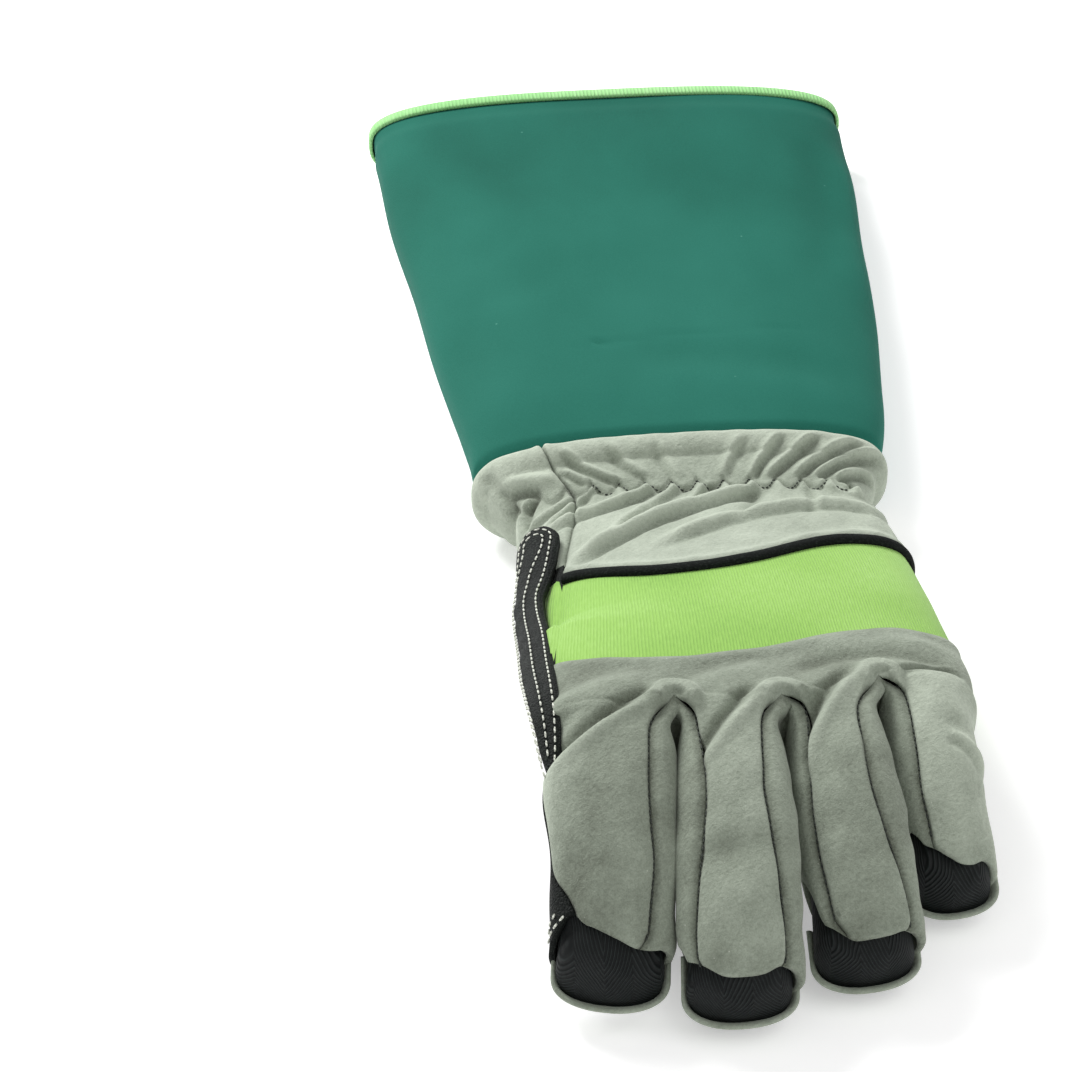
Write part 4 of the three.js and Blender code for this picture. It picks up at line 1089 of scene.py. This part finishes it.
def make_cuff():
    """Rings round the sleeve from the lap to the mouth, with long soft dents and one crease."""
    y = mix(CUFF_LAP, CUFF_EDGE, np.linspace(0, 1, 112))[:, None]
    angle = 2 * math.pi * slowed(np.linspace(0, 1, 301))[None, :]
    points = sleeve_point(angle, y, cuff_out(y))
    x = points[..., 0]
    dents = folds(CREASES, x, y) + 0.35 * ripple(x, y, 70, 1.3) * ease((y - 24) / 20)
    sides = 0.35 * np.sin(y / 11.0) * bell(np.sin(angle) / 0.5) * ease((y - 30) / 20)
    height = dents * on_back(angle) + sides
    # Painted shade on the dents: paler on their ridges, darker in their troughs; the tone also darkens towards
    # the mouth.
    shade = 0.6 - 0.24 * ease((y - 50) / 150) + 0.14 * dents * on_back(angle)
    sheet = Cloth().grid(points, 1, height, np.broadcast_to(shade, x.shape))
    return sheet.finish("cuff_sleeve", NEOPRENE, [neoprene, lining], ["cuff"], "neoprene")


def make_binding():
    """A folded tape with rounded edges carried round the mouth of the cuff."""
    angle = 2 * math.pi * slowed(np.linspace(0, 1, 421))[:-1]
    places = sleeve_point(angle, CUFF_EDGE, cuff_out(CUFF_EDGE))
    ahead = unit(np.roll(places, -1, 0) - np.roll(places, 1, 0))
    along = np.tile([0.0, 1.0, 0.0], (len(places), 1))
    out = unit(np.cross(along, ahead))
    near, far, deep = 0.12, 1.15, NEOPRENE
    arch = np.linspace(math.pi / 2, -math.pi / 2, 9)
    middle, radius = -deep / 2, deep / 2 + far
    bend = [(1.2 * math.cos(a), middle + radius * math.sin(a)) for a in arch]
    outline = [(-3.9, near), (-3.8, far - 0.35), (-3.3, far), (-1.6, far + 0.05), *bend, (-1.6, -deep - far),
               (-3.5, -deep - far), (-3.9, -deep - near), (-0.2, -deep - near), (near, -deep), (near, 0.0),
               (-0.2, near)]
    points, faces = carried(places, along, out, outline, True)
    points[:, 2] = np.maximum(points[:, 2], 0)
    around = np.repeat(np.concatenate([[0], np.cumsum(np.linalg.norm(np.diff(places, axis=0), axis=1))]),
                       len(outline)) / 1000
    over = np.tile(np.arange(len(outline)) * 0.001, len(places))
    corners = np.stack([around, over], -1)[faces.ravel()]
    tone = np.full(len(points), 0.55)
    return make_piece("cuff_edge_tape", points, faces, [binding], ["cuff_binding"], corners, tone)


def edged(first, last, count, close, steps):
    """Lanes from first to last with extra ones close to both ends, at shares of close."""
    fine = np.array(steps) * close
    middle = np.linspace(first + close, last - close, count)
    return np.concatenate([first + fine, middle, (last - fine)[::-1]])


# Where the extra lanes beside a seam lie, in shares of the strip that they fill.
SEAM_STEPS = [0, 0.1, 0.2, 0.3, 0.42, 0.56, 0.72, 0.86]


def make_wrist_back():
    """The gathered back of the wrist, by lanes across and y along, down over the piping."""
    lane = edged(0.002, 4.998, 250, 0.12, SEAM_STEPS)[None, :]
    low = seam_at(lane, "piping")
    share = np.linspace(0, 1, 140)[:, None]
    y = mix(BAND_EDGE, low, share)
    angle = back_lane(lane, y)
    height, tone = band_relief(angle, y)
    near_seam = y - low
    roll = bell(near_seam / 0.9)
    height = height * (1 - 0.6 * roll) + 0.8 * bell((near_seam - 2.6) / 1.8) - 0.1 * roll
    # Painted shade where the cloth rolls down over the piping, and a painted highlight on the swell above it.
    tone = tone - 0.3 * roll + 0.12 * bell((near_seam - 4.5) / 2.0)
    sheet = Cloth().grid(sleeve_point(angle, y), 1, height, tone)
    return sheet.finish("wrist_band_back", SUEDE, [suede], ["wrist_back"], "suede")


def make_wrist_front():
    """The underside of the wrist, by lanes across and y along."""
    lane = edged(-0.998, 3.998, 200, 0.12, SEAM_STEPS)[None, :]
    y = mix(BAND_EDGE, -HEEL_SEAM + 0.1, np.linspace(0, 1, 84))[:, None] + 0 * lane
    angle = palm_lane(lane, y)
    height, tone = band_relief(angle, y)
    sheet = Cloth().grid(sleeve_point(angle, y), -1, height, tone)
    return sheet.finish("wrist_band_front", SUEDE, [suede], ["wrist_front"], "suede")


def make_piping():
    """A round black cord carried along the seam between the wrist and the knit, a little uneven."""
    lane = np.linspace(0.02, 4.95, 280)
    y = seam_at(lane, "piping") - 1.1
    places = back_point(lane, y, 0.1 + 0.1 * ripple(lane * 20, y, 17, 0.0))
    ahead = unit(np.gradient(places, axis=0))
    out = unit(np.cross(ahead, np.tile([0.0, 1.0, 0.0], (len(places), 1))))
    aside = unit(np.cross(out, ahead))
    around = np.linspace(0, 2 * math.pi, 14, endpoint=False)
    outline = np.stack([1.55 * np.cos(around), 0.2 + 1.1 * np.sin(around)], -1)
    points, faces = carried(places, aside, out, outline, False)
    return make_piece("seam_piping", points, faces, [cord], ["band_piping"])


# How far the knit reaches under the leather strip, in lanes.
KNIT_LAP = 0.4


def make_knuckle_band():
    """The knit band between the piping and the hand's back, softly swollen between its seams."""
    lane = np.concatenate([np.linspace(-KNIT_LAP, 0, 12)[:-1], np.linspace(0.002, 4.998, 210)])[None, :]
    share = np.linspace(0, 1, 66)[:, None]
    y = mix(seam_at(lane, "piping") - 0.6, seam_at(lane, "knit") - 0.4, share)
    lap = ease(-lane / 0.04)
    points = np.where(lane[..., None] < 0, palm_point(-1 - np.minimum(lane, 0), y, 0.9 * lap),
                      back_point(np.maximum(lane, 0), y))
    x = points[..., 0]
    swell = 0.7 * np.sin(math.pi * share) ** 0.6 - 0.5
    height = swell + 0.12 * ripple(x, y, 26, 2.0)
    # Painted shade along the knit's top edge, under the piping.
    tone = 0.5 + 0.1 * ripple(x, y, 40, 0.7) - 0.3 * bell(share / 0.06)
    sheet = Cloth().grid(points, 1, height, tone)
    return sheet.finish("lime_knuckle_band", KNIT, [knit], ["knuckle_band"], "knit")


# The strip's middle line: x and z by the distance below the elastic, its half width, and how far it leans
# outwards, in degrees.
STRIP_PATH = columns("at x z half lean", [
    (19, -41.2, 25.4, 6.5, 26),
    (30, -43.0, 25.8, 6.2, 31),
    (40, -45.0, 26.2, 5.5, 36),
    (50, -47.1, 27.2, 4.8, 40),
    (60, -47.8, 29.3, 4.7, 41),
    (75, -48.2, 34.3, 4.8, 38),
    (90, -48.8, 38.3, 4.7, 36),
    (105, -48.9, 42.0, 4.2, 34),
    (114, -48.7, 41.8, 3.5, 32),
    (122, -48.6, 39.4, 2.5, 32),
    (129, -48.6, 36.8, 0.9, 32),
])
# Length of the strip's rounded head, in millimetres.
STRIP_ROUND = 6.6


def strip_point(at, aside, lift=0.0):
    """A point of the leather strip at a distance below the elastic: aside in shares of its half width, hugging
    the hand and wrapped down its outer side, lifted by so many millimetres. Also the way out there and the
    half width."""
    at, aside = alike(at, aside)

    def middle(t):
        """The strip's middle line at a distance below the elastic."""
        return np.stack([read_table(STRIP_PATH, "at", "x", t), -t, read_table(STRIP_PATH, "at", "z", t)], -1)

    lean = np.radians(read_table(STRIP_PATH, "at", "lean", at))
    near_end = np.clip((at - STRIP_PATH["at"][0]) / STRIP_ROUND, 0, 1)
    half = read_table(STRIP_PATH, "at", "half", at) * np.sqrt(np.clip(1 - (1 - near_end) ** 2, 0.04, 1))
    ahead = unit(middle(at + 0.5) - middle(at - 0.5))
    out = np.stack([-np.sin(lean), 0 * lean, np.cos(lean)], -1)
    out = unit(out - ahead * np.sum(out * ahead, -1, keepdims=True))
    side = np.cross(ahead, out)
    side = side * np.sign(side[..., :1])
    across = aside * half
    sunk = across ** 2 / 30 + 0.035 * np.minimum(across, 0) ** 2 - lift - 0.9 * ease((44 - at) / 20)
    return middle(at) + side * across[..., None] - out * sunk[..., None], out, half


def make_strip():
    """The long leather patch with a rounded top, rolled edges and a groove under each row of stitches."""
    top, foot = STRIP_PATH["at"][[0, -1]]
    at = mix(top, foot, np.linspace(0, 1, 190) ** 1.5)[:, None]
    turn = np.linspace(-math.pi / 2, math.pi / 2, 61)
    aside = np.sin(turn)[None, :]
    points, _, half = strip_point(at, aside)
    inset = (1 - np.abs(aside)) * half
    near_top = np.minimum(inset, at - top)
    edge = bell(near_top / 0.55)
    rows = sum(bell((aside - stitch_share(outer, at, side)) * half / 0.4)
               for outer in (True, False) for side in (-1, 1)) * ease((at - top - 3) / 3)
    height = 0.4 - 0.8 * edge - 0.25 * rows + 0.1 * ripple(points[..., 1], points[..., 2], 7, 1.0)
    sheet = Cloth().grid(points, 1, height, 0.5)
    return sheet.finish("leather_strip", 1.6 * STRIP_WALL, [leather], ["thumb_strip"], "leather")


def seam_angle(reach, i, side):
    """Degrees above the side of the seam beside finger i's back panel."""
    if i == 3 and side > 0:
        return PANEL_SEAM + 0 * reach
    return read_table(SEAM_ANGLES, "at", FINGER_NAMES[i] + ("_left" if side < 0 else "_right"), reach)


# The arch of cloth round the head of each gap between two fingers: its inner radius and its height.
ARCH_INNER = 3.8
ARCH_TALL = 1.7


def crotch_arch(x, y, width):
    """A raised arch of that width round the head of each gap, with two legs that die out down the gap."""
    total = 0.0
    for k in (1.0, 2.0, 3.0):
        centre = back_point(k, back_root(k))
        dx, dy = x - centre[0], y - centre[1]
        legs = np.exp(-np.clip(-dy, 0, 60) / 7) * ease(np.hypot(dx, dy) / 2.2)
        off = np.maximum(np.hypot(dx, np.maximum(dy, 0)) - ARCH_INNER, 0)
        total = total + ARCH_TALL * bell(off / width) * legs
    return total


def finger_relief(i, theta, reach, points):
    """Relief of a finger's cloth: knuckle folds, dents, uneven filling, and a groove along each seam."""
    x, y = points[..., 0], points[..., 1]
    upper = ease((np.sin(np.radians(theta)) + 0.1) * 2)
    fine = folds(KNUCKLES, x, y) * upper * ease((y + 134) / 8)
    fine = fine + 0.22 * ripple(x, y, 13, i) * np.clip(reach * 3, 0, 1)
    turned = wrapped(theta)
    angle = np.where(turned < -90, turned + 360, turned)
    for finger, at, run, wide_theta, wide_reach, tall in zip(*DENTS.values()):
        if finger == i:
            off = ((angle - at) / wide_theta) ** 2 + ((reach - run) / wide_reach) ** 2
            fine = fine + tall * np.exp(-off)
    right = np.abs(turned - seam_angle(reach, i, 1))
    left = np.abs(180 - angle - seam_angle(reach, i, -1))
    groove = bell(left / 2.6)
    if i < 3:
        groove = groove + bell(right / 2.6)
    groove = groove * ease(reach / 0.03)
    worn = ease((reach - 0.7) / 0.6)
    # Painted light and shade in the tone: each finger's own painted light level, paler on ridges, painted shade
    # in troughs and seam grooves; darker towards the worn tip.
    tone = PAINTED_FINGER_LIGHT[i] + 0.17 * fine - 0.45 * groove - 0.12 * worn * (0.7 + 0.6 * ripple(x, y, 9, 2.0))
    return fine - 0.75 * groove, tone


def rolled(reach, end):
    """1 at the very end of a panel, fading over the last two millimetres."""
    return bell((end - reach) / 0.035)


def make_hand_back():
    """The back of the hand by lanes and y, then each finger's back by its own angle and reach."""
    sheet = Cloth()
    split = np.linspace(0, 1, 49)
    split = split - 0.55 * np.sin(2 * math.pi * split) / (2 * math.pi)
    lane = np.concatenate([np.maximum(k + split[(1 if k else 0):], 0.002) for k in range(4)]
                          + [4 + np.linspace(0, 1, 31)[1:] * 0.998])[None, :]
    top = seam_at(np.minimum(lane, 4), "knit") + 0.6
    y = mix(top, back_root(lane), np.linspace(0, 1, 40)[:, None])
    points = back_point(lane, y)
    x = points[..., 0]
    fine = folds(KNUCKLES, x, y) + 0.22 * ripple(x, y, 19, 3.0) + crotch_arch(x, y, 1.5)
    lip = bell((top - y) / 0.8)
    swell = 0.5 * bell((top - y - 2.5) / 2.0)
    slack = 0.7 * bell((y - back_root(lane)) / 4)
    # Painted light and shade in the tone: a darker base than the wrist's, paler on the folds' ridges, painted
    # shade in their troughs and at the lip under the knit.
    sheet.grid(points, 1, fine + swell - 0.35 * lip, 0.4 + 0.18 * fine - 0.05 * lip, slack)
    for i, finger in enumerate(FINGER_NAMES):
        mine = lane[:, (lane[0] > i - 1e-6) & ((lane[0] < i + 1 + 1e-6) | (i == 3))]
        share, run = np.clip(mine - i, 0, 1), np.linspace(0, 1, 96)[:, None] ** 1.4

        def angle_at(reach):
            """Degrees round the finger of each lane at a reach: evenly from one seam to the other."""
            across = mix(180 - seam_angle(reach, i, -1), seam_angle(reach, i, 1), share)
            return np.where(mine > 4, PANEL_SEAM * (9 - 2 * mine), across)

        theta = angle_at(run * 1.3)
        for _ in range(3):
            end = trim_at(finger, theta, PANEL_SHIFT)
            reach = run * end
            theta = angle_at(reach)
        end = trim_at(finger, theta, PANEL_SHIFT)
        points = finger_point(i, theta, reach)
        height, tone = finger_relief(i, theta, reach, points)
        x, y = points[..., 0], points[..., 1]
        arch = crotch_arch(x, y, 1.5) * ease(np.sin(np.radians(theta)) * 2)
        arch = arch * ease(share * 12) * ease((1 - share) * 12)
        puff = 0.35 * np.sin(math.pi * share) ** 0.7 * ease(reach / 0.3) * (mine <= 4)
        edge = rolled(reach, end)
        slack = 0.7 * bell(reach / 0.08) * ease(np.sin(np.radians(theta)) * 1.5)
        # Painted shade at the rolled end of each panel.
        sheet.grid(points, 1, height + arch + puff - 0.5 * edge, tone - 0.12 * edge, slack)
    return sheet.finish("suede_back", SUEDE, [suede], ["hand_back"], "suede")


def make_palm():
    """The leather palm by lanes and levels round the thumb's hole, then the fronts of the fingers."""
    sheet = Cloth()
    side, over_thumb = -1 + np.linspace(0.002, 1, 25), np.linspace(0, THUMB_LANES, 30)
    rest = np.concatenate([np.linspace(THUMB_LANES, 2, 20)[:-1], np.linspace(2, 4 - 0.002, 49)])
    whole = np.concatenate([side[:-1], over_thumb[:-1], rest])
    whole = np.unique(np.concatenate([whole, [1.0, 3.0]]))
    rest = whole[whole > THUMB_LANES - 1e-9]
    heel, foot, head = -HEEL_SEAM - 0.1, -THUMB_SEAM, -THUMB_SEAM - THUMB_RISE

    def patch(lane, high, low, rows):
        """Adds a grid of the palm over those lanes, from y high down to y low."""
        lane = lane[None, :]
        y = mix(high, low, np.linspace(0, 1, rows)[:, None]) + 0 * lane
        points = palm_point(lane, y)
        sheet.grid(points, -1, 0.3 * ripple(points[..., 0], y, 24, 1.0), 0.5)

    patch(whole, heel, foot, 34)
    patch(side, foot, head, 12)
    patch(rest, foot, head, 12)
    patch(whole, head, palm_root(whole[None, :]), 44)
    for i, finger in enumerate(FINGER_NAMES):
        lane = whole[((whole > i - 1e-6) | (i == 0)) & ((whole < i + 1 + 1e-6) | (i == 3))][None, :]
        turn = np.where(lane < 0, 2 * PANEL_SEAM * lane, (180 - 2 * PANEL_SEAM) * (lane - i))
        theta = -180 + PANEL_SEAM + turn
        run = np.linspace(0, 1, 80)[:, None] ** 1.4
        reach = run * trim_at(finger, theta, PANEL_SHIFT)
        if i == 0:
            for _ in range(3):
                edge = -180 - seam_angle(reach, 0, -1)
                theta = np.where(lane < 0, mix(-180 + PANEL_SEAM, edge, -lane), theta + 0 * run)
                reach = run * trim_at(finger, theta, PANEL_SHIFT)
        points = finger_point(i, theta, reach)
        height, _ = finger_relief(i, theta, reach, points)
        beside = (lane < 0) & (i == 0)
        plain = 0.2 * ripple(points[..., 0], points[..., 1], 13, 2.0 + i)
        sheet.grid(points, -1, np.where(beside, height, plain), 0.5)
    return sheet.finish("leather_palm", LEATHER, [leather], ["palm"], "leather")


def make_fork(i, node):
    """The side strip between finger i and the next: down from one tip, round the crotch and up the
    other, puffed between its seams."""
    rows = np.linspace(-1, 1, 2 * 80 + 1)[:, None]
    column = np.linspace(0, 1, 33)[None, :] ** 1.25
    run = np.abs(rows) ** 1.4
    first = rows < 0
    reach = run * 1.1
    for _ in range(4):
        seam = np.where(first, seam_angle(reach, i, 1), seam_angle(reach, i + 1, -1)) - 0.8
        theta = mix(seam, -PANEL_SEAM + 0.8, column)
        end = np.where(first, trim_at(FINGER_NAMES[i], theta, PANEL_SHIFT),
                       trim_at(FINGER_NAMES[i + 1], 180 - theta, PANEL_SHIFT))
        reach = run * end
    points = np.where(first[..., None], finger_point(i, theta, reach),
                      finger_point(i + 1, 180 - theta, reach))
    puff = 1.1 * np.sin(math.pi * np.clip(column / 0.6, 0, 1)) ** 0.8 * mix(0.55, 1.0, ease(reach / 0.6))
    rim = bell(column / 0.06)
    x, y = points[..., 0], points[..., 1]
    arch = crotch_arch(x, y, 1.8) * bell(column / 0.25) * ease(column / 0.1)
    rumple = 0.25 * ripple(y, points[..., 2], 11, 5.0 + i) * ease(reach * 2)
    edge = rolled(reach, end)
    pocket = bell(reach / 0.06) * ease((column - 0.1) / 0.14)
    height = puff + arch + rumple - 0.55 * rim * ease(reach / 0.05) - 0.5 * edge - 1.9 * pocket
    # Painted shade in the tone: paler on the rumples' ridges, darker along the seam rim, down the side that
    # faces the next finger and in the pocket at the crotch; also darker towards the tip.
    tone = 0.44 + 0.2 * rumple - 0.3 * rim - 0.3 * column - 0.4 * pocket - 0.1 * ease((reach - 0.8) / 0.5)
    sheet = Cloth().grid(points, -1, height, tone)
    return sheet.finish("side_strip_" + node.removeprefix("fourchette_"), SUEDE, [suede], [node], "suede")


def make_cap(finger, point_at, node):
    """The ribbed end of a finger: from under the panels' edge round to a closed pole."""
    theta = np.linspace(-180, 180, 145)[None, :]
    start = trim_at(finger, theta) - 0.05
    reach = mix(start, 2.0, np.linspace(0, 1, 48)[:, None])
    height = mix(-1.75, -0.6, ease((reach - start) / 0.5)) * ease((2 - reach) * 4)
    sheet = Cloth().grid(point_at(theta, reach), -1, height, 0.5)
    return sheet.finish(finger + "_tip", LEATHER, [ribbed], [node], "ribbed")


# How far below the tip's middle its suede rim runs, in shares of the tip's half height.
RIM_LOW = 0.44


def make_tip_rim(i, finger):
    """A suede strip round the underside of a fingertip: a level loop a little below the tip's middle, whose
    two ends run back under the side strips. It is a flat rounded band carried along that loop."""
    turn = np.linspace(0, math.pi, 61)
    low, wide = RIM_LOW, math.sqrt(1 - RIM_LOW ** 2)
    reach = 1 + np.degrees(np.arcsin(wide * np.sin(turn))) / 90
    theta = np.degrees(np.arctan2(-low, wide * np.cos(turn)))
    back = np.linspace(0.84, 0.99, 10)
    reach = np.concatenate([back, reach, back[::-1]])
    theta = np.concatenate([theta[0] + 0 * back, theta, theta[-1] + 0 * back])
    line = finger_point(i, theta, reach)
    core = sum(finger_point(i, around, np.minimum(reach, 1)) for around in (0, 90, 180, 270)) / 4
    places = unit(np.gradient(line, axis=0))
    out = unit(line - core)
    out = unit(out - places * np.sum(out * places, -1, keepdims=True))
    aside = np.cross(places, out)
    bend = np.linspace(0, 2 * math.pi, 20, endpoint=False)
    outline = np.stack([2.6 * power(np.cos(bend), 0.7), 0.7 * power(np.sin(bend), 0.7)], -1)
    line[:, 2] = np.maximum(line[:, 2], 1.2)
    points, faces = carried(line - 0.2 * out, aside, out, outline, False)
    points[:, 2] = np.maximum(points[:, 2], 0.05)
    points, faces = facing_out(points, faces)
    return make_piece(finger + "_tip_rim", points, faces, [suede], [finger + "_cap"], None,
                      np.full(len(points), 0.55))


def make_thumb():
    """The thumb's tube, from the ring in the palm to its cap."""
    theta = np.linspace(-180, 180, 121)[None, :]
    reach = np.linspace(0, 1, 70)[:, None] * trim_at("thumb", theta, PANEL_SHIFT)
    points = thumb_point(theta, reach)
    soft = 0.3 * ripple(points[..., 0], points[..., 1], 16, 4.0) * ease(reach / 0.3)
    sheet = Cloth().grid(points, -1, soft, 0.5)
    return sheet.finish("leather_thumb", LEATHER, [leather], ["thumb"], "leather")


def stitch_share(outer, at, side):
    """Where a row of the strip's stitches runs, in shares of its half width: the rows part below its head."""
    spread = ease((at - 27) / 14)
    if outer:
        return mix(0.72, 0.76, spread) if side > 0 else -mix(0.72, 0.93, spread)
    return mix(0.42, 0.04, spread) if side > 0 else -mix(0.42, 0.8, spread)


def make_strip_stitches():
    """Two rows of white stitches up the strip, round its head and down the other side."""
    rows = []
    top, foot = STRIP_PATH["at"][[0, -1]]
    centre = top + STRIP_ROUND
    bend = np.linspace(math.pi, 0, 80)
    for outer, last in ((True, foot - 1.5), (False, foot - 5.0)):
        radius = STRIP_ROUND * (0.72 if outer else 0.42)
        run = np.linspace(last, centre, 400)
        at = np.concatenate([run, centre - radius * np.sin(bend), run[::-1]])
        half = STRIP_ROUND * np.sqrt(1 - (1 - np.clip((at - top) / STRIP_ROUND, 0.05, 1)) ** 2)
        side = np.concatenate([stitch_share(outer, run, -1), radius * np.cos(bend) / half[400:480],
                               stitch_share(outer, run[::-1], 1)])
        line, out, _ = strip_point(at, side, 0.42)
        rows.append(stitches(line, out, *WHITE_STITCH))
    return gather_stitches("strip_stitching", rows, white_thread)


def make_whip_stitches():
    """White stitches over the end of the leather on the index finger's outer side."""
    rows = []
    for end, first, last in ((0.93, 134, 186), (0.885, 150, 190)):
        theta = np.linspace(first, last, 200)
        reach = end + 0.02 * np.sin(np.radians(theta * 3))
        line = finger_point(0, theta, reach)
        out = unit(line - finger_point(0, theta + 180, reach))
        rows.append(stitches(line + out * 0.1, out, *WHITE_STITCH))
    return gather_stitches("tip_stitching", rows, white_thread)


def make_dark_stitches():
    """Dark stitches: along the elastic's scallops and in the seams beside the fingers' backs."""
    x = np.linspace(-27.5, 38.0, 900)
    y = scallop_line(x)
    half = (section("left", y) + section("right", y)) / 2
    middle = (section("right", y) - section("left", y)) / 2
    angle = back_angle((x - middle) / half)
    height, _ = band_relief(angle, y)
    line = sleeve_point(angle, y, height + 0.15)
    rows = [stitches(line, np.tile([0.0, -0.3, 1.0], (len(line), 1)), *ELASTIC_STITCH)]
    for i in range(4):
        for side in (-1, 1):
            if (i == 3 and side > 0) or (i == 0 and side < 0):
                continue
            reach = np.linspace(0.05, trim_at(FINGER_NAMES[i], 90 - 40 * side, -0.8), 400)
            seam = seam_angle(reach, i, side) - 0.4
            theta = seam if side > 0 else 180 - seam
            line = finger_point(i, theta, reach)
            inner = finger_point(i, 90 + 0 * reach, reach) * [1, 1, 0] + line * [0, 0, 1] - [0, 0, 8]
            out = unit(line - inner)
            rows.append(stitches(line - out * 0.5, out, *SEAM_STITCH))
    return gather_stitches("seam_stitching", rows, dark_thread)


made = [make_cuff(), make_binding(), make_wrist_back(), make_wrist_front(), make_knuckle_band(), make_strip(),
        make_hand_back(), make_palm()]
made += [make_fork(i, "fourchette_" + pair)
         for i, pair in enumerate(["index_middle", "middle_ring", "ring_little"])]
made += [make_cap(finger, lambda theta, reach, i=i: finger_point(i, theta, reach), finger + "_cap")
         for i, finger in enumerate(FINGER_NAMES)]
made += [make_thumb(), make_cap("thumb", thumb_point, "thumb_cap")]
for i, finger in enumerate(FINGER_NAMES):
    make_tip_rim(i, finger)
make_piping()
make_strip_stitches()
make_whip_stitches()
make_dark_stitches()


# Half the side of the floor, in metres.
FLOOR_HALF = 6.0
# The camera of the fitted view: its place in millimetres of the working frame, its way, and its lens and
# sensor in millimetres.
CAMERA_PLACE = (-100.4, -641.4, 461.7)
CAMERA_WAY = (0.0785, 0.8154, -0.5736)
CAMERA_LENS = 104.67
CAMERA_SENSOR = 36.0
# Where both lights aim, in metres.
GLOVE_MIDDLE = (0, -0.05, 0)


def make_floor():
    """A wide pale sheet under the glove, with a faint paper grain."""
    material, shader, add = node_maker("pale_floor")
    place = add("ShaderNodeTexCoord").outputs["Object"]
    colour = blended(add, noise(add, place, 30, 2.0), (0.87, 0.87, 0.87), (0.9, 0.9, 0.9))
    coloured(shader, colour, rough=0.9)
    shader.inputs["Emission Color"].default_value = (1, 1, 1, 1)
    shader.inputs["Emission Strength"].default_value = 0.38
    mesh = bpy.data.meshes.new("floor")
    corners = [(-1, -1), (1, -1), (1, 1), (-1, 1)]
    mesh.from_pydata([(FLOOR_HALF * x, FLOOR_HALF * y, 0) for x, y in corners], [], [(0, 1, 2, 3)])
    mesh.materials.append(material)
    floor = bpy.data.objects.new("floor", mesh)
    bpy.context.scene.collection.objects.link(floor)


def make_light(name, place, size, watts):
    """A square soft white light aimed at the glove."""
    light = bpy.data.lights.new(name, "AREA")
    light.size, light.energy, light.color = size, watts, (1, 1, 1)
    lamp = bpy.data.objects.new(name, light)
    lamp.location = place
    lamp.rotation_euler = (Vector(GLOVE_MIDDLE) - Vector(place)).to_track_quat("-Z", "Y").to_euler()
    bpy.context.scene.collection.objects.link(lamp)


make_floor()
make_light("window", (-0.5, 0.75, 0.8), 0.5, 16)
make_light("fill", (0.7, -0.6, 1.0), 1.1, 4)
world = bpy.data.worlds.new("studio")
world.use_nodes = True
world.node_tree.nodes["Background"].inputs["Color"].default_value = (1, 1, 1, 1)
world.node_tree.nodes["Background"].inputs["Strength"].default_value = 0.52
bpy.context.scene.world = world
bpy.context.scene.view_settings.view_transform = "Standard"

camera_data = bpy.data.cameras.new("camera")
camera_data.lens = CAMERA_LENS
camera_data.sensor_width = CAMERA_SENSOR
camera = bpy.data.objects.new("camera", camera_data)
camera.location = (Vector(CAMERA_PLACE) + Vector(TO_FRAME.tolist())) / 1000
camera.rotation_euler = Vector(CAMERA_WAY).to_track_quat("-Z", "Y").to_euler()
bpy.context.scene.collection.objects.link(camera)
bpy.context.scene.camera = camera
